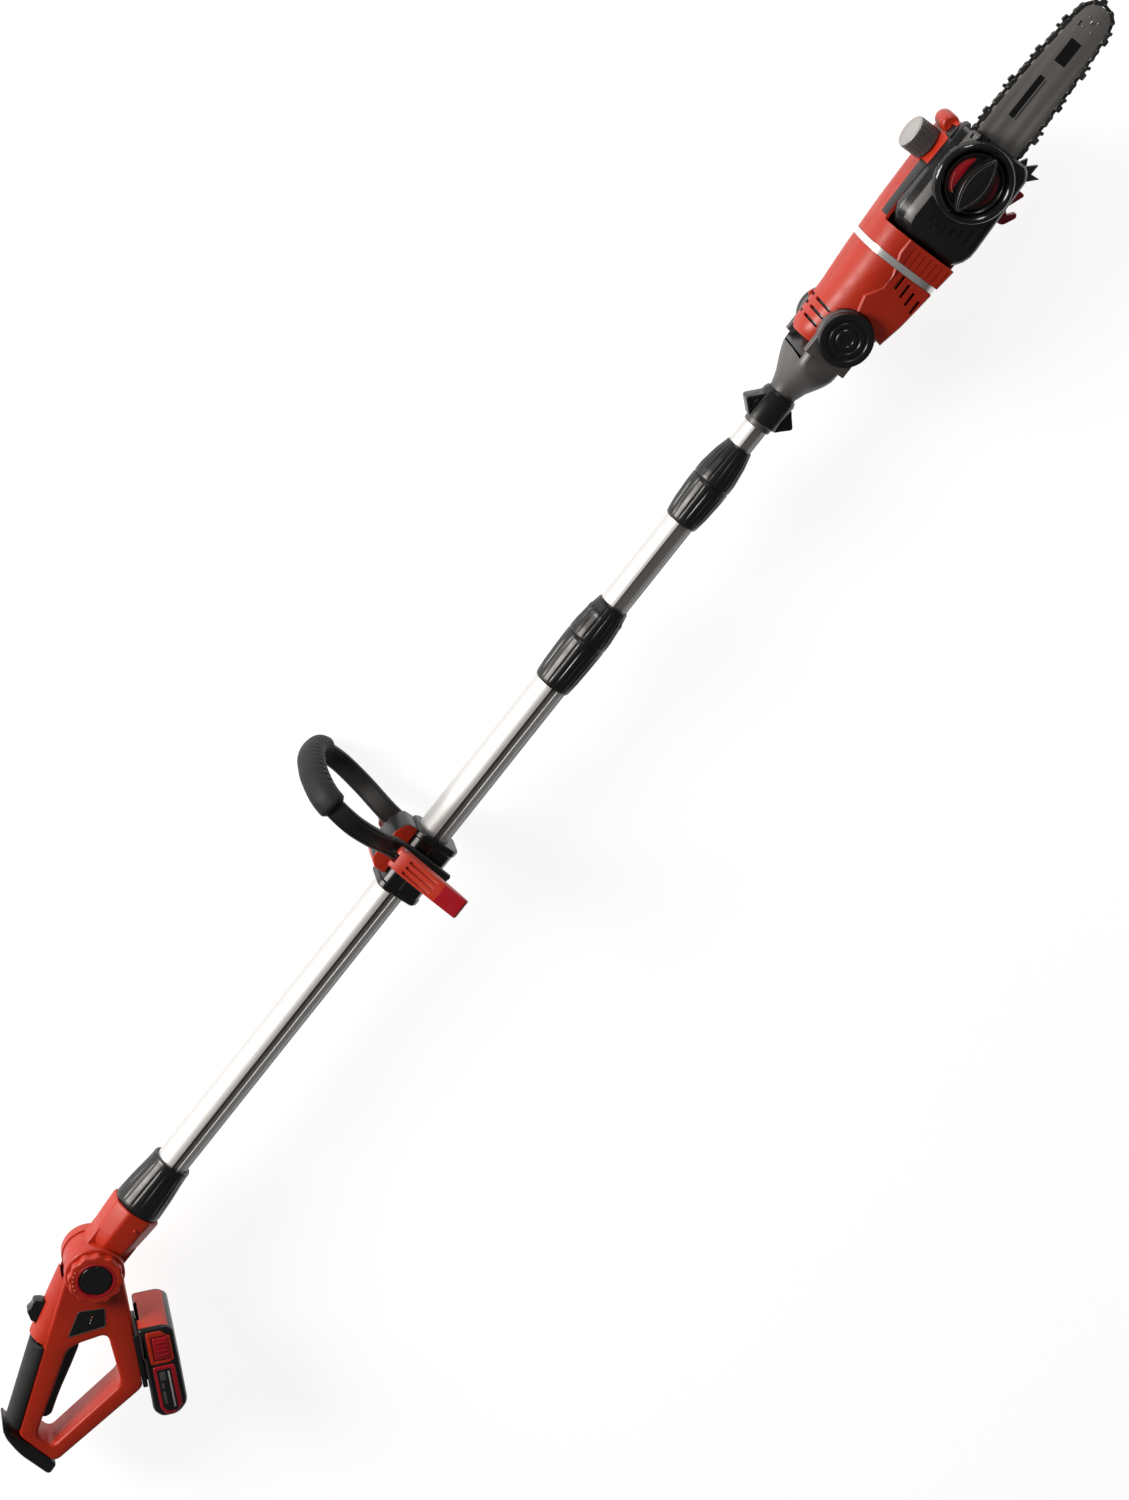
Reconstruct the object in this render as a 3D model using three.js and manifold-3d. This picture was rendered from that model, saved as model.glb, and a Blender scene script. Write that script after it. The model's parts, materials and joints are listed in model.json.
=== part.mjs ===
// Cordless telescoping pole saw, laid on its side.
//
// Millimetres. +X runs along the pole to the saw head, +Y is the side of the loop handle,
// and +Z is the side of the sprocket cover. While it is modelled, X is measured from the
// hinge of the rear handle and Y and Z from the axis of the pole. The last lines of the
// file move the finished saw so that its origin is the middle of its underside.

import * as THREE from 'three';
import { mergeVertices } from 'three/addons/utils/BufferGeometryUtils.js';
import { ConvexGeometry } from 'three/addons/geometries/ConvexGeometry.js';
import Module from 'manifold-3d';

const wasm = await Module();
wasm.setup();

// ---------------------------------------------------------------- driving dimensions

const GAP = 0.3; // between neighbouring pieces
const WALL = 2.6; // of moulded housings
const DEG = Math.PI / 180;

// Pole: three drawn tubes with a flat-bottomed key groove on their +Z side.
const tubeSize = (radius, bore, keyHalf, keyFloor, boreKeyHalf, boreKeyFloor) =>
  ({ radius, bore, keyHalf, keyFloor, boreKeyHalf, boreKeyFloor });
const MAIN = tubeSize(17.5, 15.9, 3.6, 15.6, 5.0, 14.1);
const MIDDLE = tubeSize(15, 13.6, 5.3, 13.6, 6.5, 12.3);
const TOP = tubeSize(12.5, 11.2, 4.4, 11.6, 5.4, 10.3);
const LEAD_RADIUS = 8;
const TUBE_FOOT = 44; // rear end of the main tube, in the pole socket
const SOCKET_END = 78;
const NUT_MOUTH = 140;
const LOCK_ONE = { rear: 775, split: 832, front: 876, outer: 21.6, rearRadius: 19.2, frontRadius: 17.2 };
const LOCK_TWO = { rear: 981, split: 1030, front: 1075, outer: 20.6, rearRadius: 17.2, frontRadius: 14.6 };
const RETRACT = 95; // how far each tube may still slide in
const NECK_REAR = 1100;
const HEAD_PIVOT = 1222;

// Rear handle, as seen from +Z, about its hinge at 0, 0.
const HANDLE_HALF = 21; // half thickness
const HINGE_RADIUS = 31;
const KNUCKLE_HALF = 13.4; // half thickness of the pole socket's tongue
const KNOB_FACE = 38;
const HANDLE_OUTLINE = [[-14, 28], [-96, 8], [-100, -9], [-203, -47], [-211, -100], [-86, -125], [17, -22]];
const HANDLE_OPENING = [[-55, -57], [-79, -38], [-92, -31], [-194, -64], [-197, -88], [-97, -105]];
const GRIP_START = new THREE.Vector2(-101, -9.5); // where the soft grip begins
const GRIP_ANGLE = 200.4 * DEG; // direction of the grip, away from the hinge
const GRIP_LENGTH = 102;
const GRIP_DEPTH = 12;
const LOCK_OFF_X = -74;
const LOCK_OFF_Y = 10;
const LEG_ANGLE = 225.5 * DEG; // direction of the front leg and of the battery
const LEG_FACE = 27; // the battery side of the leg, from the hinge

// Battery pack, along the front leg.
const PACK = { near: 70, far: 181, inner: 30.5, outer: 67.5, half: 38 };

// Loop handle.
const CLAMP_X = 547;
const CLAMP_HALF = 36;
const LOOP_LEAN = 7 * DEG;
const LOOP_TWIST = 5 * DEG;
const BOLT_Y = 31;
const LEVER_ANGLE = 27 * DEG; // how far the closed lever stands off the side of the clamp

// Head, about its own pivot.
const WING_TIP = 29; // of the finger tabs on the tilt lock's slider, from the pole's axis
const FORK_CLEARANCE = 46.5; // radius swept by the back of the head
const CHEEK_INNER = 30.3;
const CHEEK_OUTER = 38;
const CAP_FACE = 45.5;
const PIVOT_CAP_RADIUS = 27.5;
const BAND = { rear: 1303.5, front: 1310.5 };
const COVER = { rear: 1334, front: 1452, floor: 21.7, face: 44 };
const COVER_TOP = 39; // its edge on the +Y side
const KNOB_X = 1411;
const FILLER_X = 1412;
const KNOB_RADIUS = 40.5;

// Cutting gear.
const BAR_Z = 30;
const BAR_HALF_THICK = 1.9;
const BAR_TAIL = 1396;
const BAR_TIP = 1610;
const BAR_HALF_WIDTH = 24.4;
const BAR_TAIL_HALF = 12; // half width at the tail, which widens to the full width by the shoulder
const BAR_SHOULDER = BAR_TAIL + 30;
const BAR_STRAIGHT_END = 1470; // the edges taper in one curve from here to the nose
const BAR_CURVE_X = 1520;
const BAR_NOSE_RADIUS = 17.2;
const NOSE_X = BAR_TIP - BAR_NOSE_RADIUS;
const NOSE_TANGENT = 82 * DEG; // where the curve of the edge meets the round nose
const CHAIN_DEPTH = 5.2;
const CHAIN_HALF_THICK = 2.4;
const SPROCKET_X = 1374;
const SPROCKET_RADIUS = 15.4;
const CUTTER_PITCH = 38;

// ---------------------------------------------------------------- materials

const finish = (color, roughness, metalness = 0) =>
  new THREE.MeshStandardMaterial({ color, roughness, metalness });
const RED = finish(0xc8261e, 0.35);
const BLACK = finish(0x1a1a1c, 0.45);
const RUBBER = finish(0x222224, 0.8);
const GREY = finish(0x5c5957, 0.45);
const ALUMINIUM = finish(0xd4d2ce, 0.3, 0.9);
const STEEL = finish(0x95908a, 0.35, 0.9);
const COPPER = finish(0xa8622f, 0.4, 0.8);

// ---------------------------------------------------------------- geometry helpers

/** A welded copy of a closed geometry without slivers, with its faces pointing out. */
function welded(source) {
  const bare = source.clone();
  bare.deleteAttribute('normal');
  bare.deleteAttribute('uv');
  const merged = mergeVertices(bare, 1e-3);
  const at = merged.attributes.position;
  const corners = merged.index.array;
  const kept = [];
  let volume = 0;
  const [a, b, c] = [new THREE.Vector3(), new THREE.Vector3(), new THREE.Vector3()];
  for (let i = 0; i < corners.length; i += 3) {
    const [p, q, r] = corners.slice(i, i + 3);
    if (p === q || q === r || r === p) continue;
    kept.push(p, q, r);
    [a, b, c].forEach((vector, j) => vector.fromBufferAttribute(at, [p, q, r][j]));
    volume += a.dot(b.cross(c));
  }
  if (volume < 0) kept.reverse();
  const out = new THREE.BufferGeometry();
  out.setAttribute('position', at.clone());
  out.setIndex(kept);
  return out;
}

function toSolid(geometry) {
  const closed = welded(geometry);
  return new wasm.Manifold(new wasm.Mesh({
    numProp: 3,
    vertProperties: new Float32Array(closed.attributes.position.array),
    triVerts: new Uint32Array(closed.index.array),
  }));
}

function toGeometry(solid) {
  const mesh = solid.getMesh();
  const out = new THREE.BufferGeometry();
  out.setAttribute('position', new THREE.BufferAttribute(new Float32Array(mesh.vertProperties), 3));
  out.setIndex(new THREE.BufferAttribute(new Uint32Array(mesh.triVerts), 1));
  return out;
}

const combine = (operation) => (first, ...others) =>
  toGeometry(others.reduce((whole, next) => whole[operation](toSolid(next)), toSolid(first)));
const cut = combine('subtract');
const join = combine('add');
const common = combine('intersect');

const BASIS = {
  X: new THREE.Matrix4().makeBasis(axis(0, 1, 0), axis(0, 0, 1), axis(1, 0, 0)),
  Y: new THREE.Matrix4().makeBasis(axis(0, 0, 1), axis(1, 0, 0), axis(0, 1, 0)),
  Z: new THREE.Matrix4(),
};

function axis(x, y, z) {
  return new THREE.Vector3(x, y, z);
}

/** Extrudes a shape along X (drawn in Y, Z), along Y (drawn in Z, X) or along Z (drawn in X, Y). */
function prism(along, shape, from, to, bevel = 0, curveSegments = 10) {
  const geometry = new THREE.ExtrudeGeometry(shape, {
    depth: to - from - 2 * bevel,
    curveSegments,
    bevelEnabled: bevel > 0,
    bevelSize: bevel,
    bevelOffset: -bevel,
    bevelThickness: bevel,
    bevelSegments: 1,
  });
  return geometry.translate(0, 0, from + bevel).applyMatrix4(BASIS[along]);
}

/** A solid of revolution about X or Z, through the centre given, from [along, radius] pairs. */
function turned(along, profile, centre = [0, 0, 0], segments = 24) {
  const points = profile.map(([distance, radius]) => new THREE.Vector2(radius, distance));
  const geometry = new THREE.LatheGeometry(points, segments);
  if (along === 'X') geometry.rotateZ(-90 * DEG);
  if (along === 'Z') geometry.rotateX(90 * DEG);
  return geometry.translate(...centre);
}

const rod = (along, radius, from, to, centre, segments) =>
  turned(along, [[from, 0], [from, radius], [to, radius], [to, 0]], centre, segments);

const tube = (along, inner, outer, from, to, centre, segments) =>
  turned(along, [[from, inner], [from, outer], [to, outer], [to, inner], [from, inner]], centre, segments);

const box = (x0, x1, y0, y1, z0, z1) =>
  new THREE.BoxGeometry(x1 - x0, y1 - y0, z1 - z0).translate((x0 + x1) / 2, (y0 + y1) / 2, (z0 + z1) / 2);

/** A closed outline through the points, with every corner rounded by the radius given. */
function rounded(points, radius, target = new THREE.Shape()) {
  const corner = points.map(([x, y]) => new THREE.Vector2(x, y));
  corner.forEach((here, i) => {
    const back = corner.at(i - 1).clone().sub(here);
    const ahead = corner[(i + 1) % corner.length].clone().sub(here);
    const reach = Math.min(radius, back.length() / 2.1, ahead.length() / 2.1);
    const start = here.clone().addScaledVector(back.normalize(), reach);
    const end = here.clone().addScaledVector(ahead.normalize(), reach);
    if (i === 0) target.moveTo(start.x, start.y);
    else target.lineTo(start.x, start.y);
    target.quadraticCurveTo(here.x, here.y, end.x, end.y);
  });
  target.closePath();
  return target;
}

/** Moves each side of a polygon by a distance: inwards if positive, for anticlockwise points. */
function inset(points, distance) {
  return points.map(([x, y], i) => {
    const [bx, by] = points.at(i - 1);
    const [ax, ay] = points[(i + 1) % points.length];
    const into = new THREE.Vector2(x - bx, y - by).normalize();
    const away = new THREE.Vector2(ax - x, ay - y).normalize();
    const left = new THREE.Vector2(-into.y - away.y, into.x + away.x).normalize();
    const stretch = distance / Math.max(0.35, left.dot(new THREE.Vector2(-into.y, into.x)));
    return [x + left.x * stretch, y + left.y * stretch];
  });
}

/** A ring of points across X: a rounded rectangle between y0..y1 and z0..z1. */
function section(x, y0, y1, z0, z1, squareness = 2.8, count = 16) {
  const points = [];
  for (let i = 0; i < count; i += 1) {
    const turn = (i / count) * 2 * Math.PI;
    const [c, s] = [Math.cos(turn), Math.sin(turn)];
    const soften = (value) => Math.sign(value) * Math.abs(value) ** (2 / squareness);
    const y = (y0 + y1) / 2 + (soften(c) * (y1 - y0)) / 2;
    const z = (z0 + z1) / 2 + (soften(s) * (z1 - z0)) / 2;
    points.push(new THREE.Vector3(x, y, z));
  }
  return points;
}

const hull = (...sections) => new ConvexGeometry(sections.flat());

function circle(x, y, radius, target = new THREE.Path()) {
  return target.absarc(x, y, radius, 0, 2 * Math.PI);
}

/** Places a piece drawn along +X at a point in the XY plane, turned to the angle given. */
const placed = (geometry, x, y, angle) => geometry.rotateZ(angle).translate(x, y, 0);

// ---------------------------------------------------------------- assembly

const saw = new THREE.Group();

function add(name, geometry, material) {
  const mesh = new THREE.Mesh(welded(geometry), material);
  mesh.name = name;
  saw.add(mesh);
}

// ---------------------------------------------------------------- pole tubes and their locks

/** The outline of a tube's outside or bore: a circle with a flat floor cut across its top. */
function keyed(radius, keyHalf, keyFloor, target) {
  const edge = Math.acos(keyHalf / radius);
  target.absarc(0, 0, radius, Math.PI - edge, edge + 2 * Math.PI);
  target.lineTo(keyHalf, keyFloor);
  target.lineTo(-keyHalf, keyFloor);
  target.closePath();
  return target;
}

function poleTube(size, from, to) {
  const shape = keyed(size.radius, size.keyHalf, size.keyFloor, new THREE.Shape());
  shape.holes.push(keyed(size.bore, size.boreKeyHalf, size.boreKeyFloor, new THREE.Path()));
  return prism('X', shape, from, to, 0, 16);
}

/** The fixed half of a tube lock: a tapering sleeve with a threaded neck under the nut. */
function lockBody(lock, held) {
  const bore = held.radius + GAP;
  const neck = held.radius + 1.9;
  const { rear, split, outer, rearRadius, front } = lock;
  return turned('X', [
    [rear, bore], [rear, rearRadius - 1], [rear + 2, rearRadius], [split - 8, outer], [split - GAP, outer],
    [split - GAP, neck], [front - 14, neck], [front - 14, bore], [rear, bore],
  ]);
}

/** The turning half: a tapered nut over the neck that closes a split collet on the inner tube. */
function lockNut(lock, held, sliding) {
  const wide = held.radius + 2.3;
  const narrow = sliding.radius + 0.5;
  const { split, outer, front, frontRadius } = lock;
  return turned('X', [
    [split, wide], [split, outer], [split + 10, outer], [front - 2, frontRadius], [front, frontRadius - 1],
    [front, narrow], [front - 4, narrow], [front - 13, wide], [split, wide],
  ]);
}

/** A split ring with a slot at -Y that the nut closes on the sliding tube. */
function lockCollet(lock, sliding) {
  const [inner, outer] = [sliding.radius + 0.25, sliding.radius + 1.6];
  const half = 0.12;
  const shape = new THREE.Shape();
  shape.absarc(0, 0, outer, Math.PI + half, 3 * Math.PI - half);
  shape.absarc(0, 0, inner, 3 * Math.PI - half, Math.PI + half, true);
  shape.closePath();
  return prism('X', shape, lock.front - 13.6, lock.front - 7, 0, 14);
}

function buildPole() {
  const mainEnd = LOCK_ONE.front - 16;
  const middleEnd = LOCK_TWO.front - 16;
  const middleStart = TUBE_FOOT + RETRACT + 40;
  add('main_tube', poleTube(MAIN, TUBE_FOOT, mainEnd), ALUMINIUM);
  add('middle_tube', poleTube(MIDDLE, middleStart, middleEnd), ALUMINIUM);
  add('top_tube', poleTube(TOP, middleStart + RETRACT + 20, NECK_REAR + 24), ALUMINIUM);
  add('lock_one_body', lockBody(LOCK_ONE, MAIN), BLACK);
  add('lock_one_nut', lockNut(LOCK_ONE, MAIN, MIDDLE), BLACK);
  add('lock_one_collet', lockCollet(LOCK_ONE, MIDDLE), GREY);
  add('lock_two_body', lockBody(LOCK_TWO, MIDDLE), BLACK);
  add('lock_two_nut', lockNut(LOCK_TWO, MIDDLE, TOP), BLACK);
  add('lock_two_collet', lockCollet(LOCK_TWO, TOP), GREY);
  const leadEnd = NECK_REAR - RETRACT - 60;
  add('coiled_lead', rod('X', LEAD_RADIUS, TUBE_FOOT + 6, leadEnd, [0, 0, 0], 16), RUBBER);
}

// ---------------------------------------------------------------- rear end of the pole

function buildSocket() {
  const chamfered = (x, half) => section(x, -half, half, -half, half, 3.2);
  const body = hull(chamfered(36, 24), chamfered(44, 26), chamfered(SOCKET_END - GAP, 26));
  const disc = circle(0, 0, HINGE_RADIUS - 1, new THREE.Shape());
  const tongue = prism('Z', disc, -KNUCKLE_HALF, KNUCKLE_HALF, 0, 14);
  const web = box(0, 40, -24, 24, -KNUCKLE_HALF, KNUCKLE_HALF);
  const thread = rod('X', 21.4, SOCKET_END - 4, NUT_MOUTH - 14);
  const tubeBore = rod('X', MAIN.radius + GAP, TUBE_FOOT - GAP, NUT_MOUTH);
  const leadWay = rod('X', LEAD_RADIUS + 1, -40, TUBE_FOOT, [0, 0, 0], 20);
  const pinBore = rod('Z', 6.3, -30, 30, [0, 0, 0], 24);
  const whole = join(body, tongue, web, thread);
  add('pole_socket', cut(whole, tubeBore, leadWay, pinBore), RED);

  add('socket_nut', turned('X', [
    [SOCKET_END, 21.8], [SOCKET_END, 25.4], [SOCKET_END + 4, 26], [NUT_MOUTH - 14, 22.4],
    [NUT_MOUTH - 3, 22.8], [NUT_MOUTH, 22], [NUT_MOUTH, 18.2], [NUT_MOUTH - 13, 18.2],
    [NUT_MOUTH - 13, 21.8], [SOCKET_END, 21.8],
  ]), BLACK);
}

// ---------------------------------------------------------------- rear handle

/** The handle's outline, or the outline of the space inside it. */
function handleShape(thickness) {
  const shape = rounded(inset(HANDLE_OUTLINE, thickness), 9);
  shape.holes.push(rounded(inset(HANDLE_OPENING, -thickness), 7, new THREE.Path()));
  return shape;
}

function buildHandleShells() {
  const pieces = [
    prism('Z', handleShape(0), -HANDLE_HALF, HANDLE_HALF, 3.5, 3),
    prism('Z', circle(0, 0, HINGE_RADIUS, new THREE.Shape()), -27, 27, 1.5, 14),
  ];
  const hollow = prism('Z', handleShape(WALL), WALL - HANDLE_HALF, HANDLE_HALF - WALL, 0, 3);
  const tongueRoom = rod('Z', HINGE_RADIUS + 3, -KNUCKLE_HALF - GAP, KNUCKLE_HALF + GAP);
  const webRoom = box(0, 60, -60, 60, -KNUCKLE_HALF - GAP, KNUCKLE_HALF + GAP);
  const pinBore = rod('Z', 6.3, -30, 30, [0, 0, 0], 24);
  const triggerSlot = placed(box(0, 100, -14, 18, -8.6, 8.6), -84, -28.5, GRIP_ANGLE - 2 * DEG);
  const lockSlot = placed(box(-15, 15, -12, 12, -7, 7), LOCK_OFF_X, LOCK_OFF_Y, 193 * DEG);
  const window = prism('Z', windowShape(-GAP), HANDLE_HALF - 1.6, HANDLE_HALF + 4);
  const dockRoom = onLeg(box(82, 150, LEG_FACE - 2.4, LEG_FACE + 6, -25.4, 25.4));
  const whole = join(...pieces);
  const rooms = [hollow, tongueRoom, webRoom, pinBore, triggerSlot, lockSlot, window, dockRoom];
  const shell = cut(whole, ...rooms);
  add('handle_shell_right', common(shell, box(-250, 60, -180, 60, GAP / 2, 40)), RED);
  add('handle_shell_left', common(shell, box(-250, 60, -180, 60, -40, -GAP / 2)), RED);
}

function windowShape(thickness) {
  return rounded(inset([[-47, -13], [-79, -22], [-47, -48], [-29, -34]], thickness), 3);
}

function buildHandleParts() {
  add('window_panel', prism('Z', windowShape(0), HANDLE_HALF - 1.3, HANDLE_HALF + 0.3), BLACK);

  const grip = new THREE.Shape();
  grip.absellipse(0, 0, HANDLE_HALF, GRIP_DEPTH, 0, Math.PI);
  grip.lineTo(3.6 - HANDLE_HALF, 0);
  grip.absellipse(0, 0, HANDLE_HALF - 3.6, GRIP_DEPTH - 3.6, Math.PI, 0, true);
  grip.closePath();
  const pad = new THREE.ExtrudeGeometry(grip, { depth: GRIP_LENGTH, curveSegments: 14, bevelEnabled: false });
  const along = new THREE.Vector3(Math.cos(GRIP_ANGLE), Math.sin(GRIP_ANGLE), 0);
  const out = new THREE.Vector3(along.y, -along.x, 0);
  pad.applyMatrix4(new THREE.Matrix4().makeBasis(axis(0, 0, 1), out.clone(), along.clone()));
  pad.translate(GRIP_START.x + 2 * out.x, GRIP_START.y + 2 * out.y, 0);
  add('soft_grip', pad, RUBBER);

  const foot = rounded([[-204, -28], [-213, -38], [-222, -62], [-227, -104], [-212, -103]], 5);
  add('foot_cap', prism('Z', foot, -HANDLE_HALF, HANDLE_HALF, 0, 4), BLACK);

  const trigger = rounded([[0, -6], [96, -6], [98, 5], [92, 9], [6, 13], [0, 11]], 4);
  const blade = placed(prism('Z', trigger, -8, 8, 1.5, 4), -85, -29.5, GRIP_ANGLE - 2 * DEG);
  add('trigger', blade, BLACK);

  const lockOff = rounded([[-13, 5], [13, 5], [13, -9], [4, -17], [-10, -15], [-13, -8]], 2.5);
  add('lock_off_button', placed(prism('Z', lockOff, -6.5, 6.5, 1.2, 4), LOCK_OFF_X, LOCK_OFF_Y, 193 * DEG), BLACK);

  add('trigger_switch', box(-76, -52, -22, -8, -12, 12), GREY);
  add('handle_pin', turned('Z', [
    [-34, 0], [-34, 10], [-27.6, 10], [-27.6, 6], [KNOB_FACE - 12, 6], [KNOB_FACE - 12, 0],
  ], [0, 0, 0], 24), STEEL);

  const lobes = 12;
  const scalloped = new THREE.Shape();
  for (let i = 0; i <= lobes * 4; i += 1) {
    const turn = (i / (lobes * 4)) * 2 * Math.PI;
    const radius = 27.8 + 0.9 * Math.cos(turn * lobes);
    if (i === 0) scalloped.moveTo(radius, 0);
    else if (i < lobes * 4) scalloped.lineTo(radius * Math.cos(turn), radius * Math.sin(turn));
  }
  scalloped.closePath();
  scalloped.holes.push(circle(0, 0, 17.4));
  add('tilt_knob', prism('Z', scalloped, 27.3, KNOB_FACE, 1.5, 18), RED);
  const buttonTop = KNOB_FACE + 1;
  add('tilt_button', turned('Z', [
    [KNOB_FACE - 7, 0], [KNOB_FACE - 7, 17], [buttonTop - 2, 17], [buttonTop, 14.5], [buttonTop, 0],
  ]), BLACK);
}

/** Places a piece of the front leg or the battery, drawn with +X down the leg and +Y out of it. */
function onLeg(geometry) {
  return geometry.rotateZ(LEG_ANGLE);
}

function buildBattery() {
  const { near, far, inner, outer, half } = PACK;
  const base = box(84, 148, LEG_FACE - 2, inner - GAP, -25, 25);
  const tongue = box(88, 145, LEG_FACE, inner + 3.5, -16, 16);
  add('battery_dock', onLeg(join(base, tongue)), BLACK);

  const bodyOutline = rounded([[near, outer - 9], [near + 8, outer], [far - 12, outer], [far, outer - 12],
    [far, inner + 8], [far - 8, inner], [near, inner]], 7);
  const body = prism('Z', bodyOutline, -half, half, 3, 4);
  const groove = box(near - 5, 150, inner - 4, inner + 4, -17, 17);
  const buttonRoom = box(near + 12, near + 40, inner + 12, inner + 30, half - 8, half + 4);
  const buttonRoomFar = box(near + 12, near + 40, inner + 12, inner + 30, -half - 4, 8 - half);
  add('battery_case', onLeg(cut(body, groove, buttonRoom, buttonRoomFar)), BLACK);
  const button = (z0, z1) => box(near + 12.4, near + 39.6, inner + 12.4, inner + 29.6, z0, z1);
  add('battery_button_right', onLeg(button(half - 4.6, half + 1.6)), RED);
  add('battery_button_left', onLeg(button(-half - 1.6, 4.6 - half)), RED);
}

// ---------------------------------------------------------------- loop handle

/** Half of the loop's centre line, from its end beside the clamp to the middle of the grip. */
const LOOP_HALF = [[-30, 27.5], [0, 29.5], [38, 37], [72, 55], [104, 63], [134, 52], [146, 24], [148, 0]];

function loopCurve() {
  const mirrored = LOOP_HALF.slice(0, -1).reverse().map(([y, z]) => [y, -z]);
  const points = [...LOOP_HALF, ...mirrored].map(([y, z]) => new THREE.Vector3(0, y, z));
  return new THREE.CatmullRomCurve3(points, false, 'centripetal');
}

/** The stretch of a curve between two of its parameters, as a curve of its own. */
class Stretch extends THREE.Curve {
  constructor(whole, from, to) {
    super();
    Object.assign(this, { whole, from, to });
  }

  getPoint(t, target) {
    return this.whole.getPointAt(THREE.MathUtils.lerp(this.from, this.to, t), target);
  }
}

function ellipse(x, y, target) {
  return target.absellipse(0, 0, x, y, 0, 2 * Math.PI);
}

function buildLoop() {
  const lean = (geometry) =>
    geometry.rotateZ(-LOOP_LEAN).rotateY(-LOOP_TWIST).translate(CLAMP_X + 10, 0, 0);
  const curve = loopCurve();
  const strap = new THREE.ExtrudeGeometry(ellipse(11, 4.6, new THREE.Shape()), {
    steps: 32, curveSegments: 4, bevelEnabled: false, extrudePath: curve,
  });
  const boltBore = rod('Z', 4.4, -60, 60, [CLAMP_X + 8, BOLT_Y, 0], 16);
  add('loop_handle', cut(lean(strap), boltBore), GREY);
  const sleeve = ellipse(15, 11, new THREE.Shape());
  sleeve.holes.push(ellipse(12, 5.8, new THREE.Path()));
  add('loop_grip', lean(new THREE.ExtrudeGeometry(sleeve, {
    steps: 12, curveSegments: 5, bevelEnabled: false, extrudePath: new Stretch(curve, 0.355, 0.645),
  })), RUBBER);

  const clampOutline = [
    [-22, -23], [-29, -13], [-29, 13], [-22, 23], [15, 24], [21, 18], [21, -18], [15, -24],
  ];
  const block = prism('X', rounded(clampOutline, 3), CLAMP_X - CLAMP_HALF, CLAMP_X + CLAMP_HALF, 2, 3);
  const bore = rod('X', MAIN.radius + 0.35, CLAMP_X - 60, CLAMP_X + 60);
  const clamp = cut(block, bore);
  add('clamp_upper', common(clamp, box(400, 700, 0.5, 60, -60, 60)), BLACK);
  add('clamp_lower', common(clamp, box(400, 700, -60, -0.5, -60, 60)), BLACK);

  const saddle = rounded([[-23, 21.4], [-23, 34], [-14, 43], [22, 40], [34, 34], [34, 21.4]], 4);
  const saddleBlock = prism('Z', saddle, -17, 17, 1.5, 4).translate(CLAMP_X, 0, 0);
  add('clamp_saddle', cut(saddleBlock, boltBore), RED);

  const boltProfile = [[-49, 0], [-49, 7.5], [-43, 7.5], [-43, 4], [44, 4], [44, 0]];
  add('clamp_bolt', turned('Z', boltProfile, [CLAMP_X + 8, BOLT_Y, 0], 20), STEEL);

  // The lever is drawn along +X of its own frame with its pivot at 0, 0, then turned into place.
  const profile = rounded([[-7, -6], [-7, 7], [4, 9], [78, 5], [79, -1], [60, -4], [8, -6]], 3);
  const lever = prism('Z', profile, -11, 11, 1.2, 3);
  const pivotRoom = join(box(-10, 7, -12, 2, -5, 5), box(-10, -2, -12, 12, -5, 5));
  const shaped = cut(lever, pivotRoom);
  const downwards = new THREE.Matrix4().makeBasis(axis(0, -1, 0), axis(0, 0, 1), axis(-1, 0, 0));
  shaped.applyMatrix4(downwards).rotateX(-LEVER_ANGLE);
  add('clamp_lever', shaped.translate(CLAMP_X + 8, BOLT_Y, 49), RED);
}

// ---------------------------------------------------------------- neck, fork and head pivot

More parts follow.
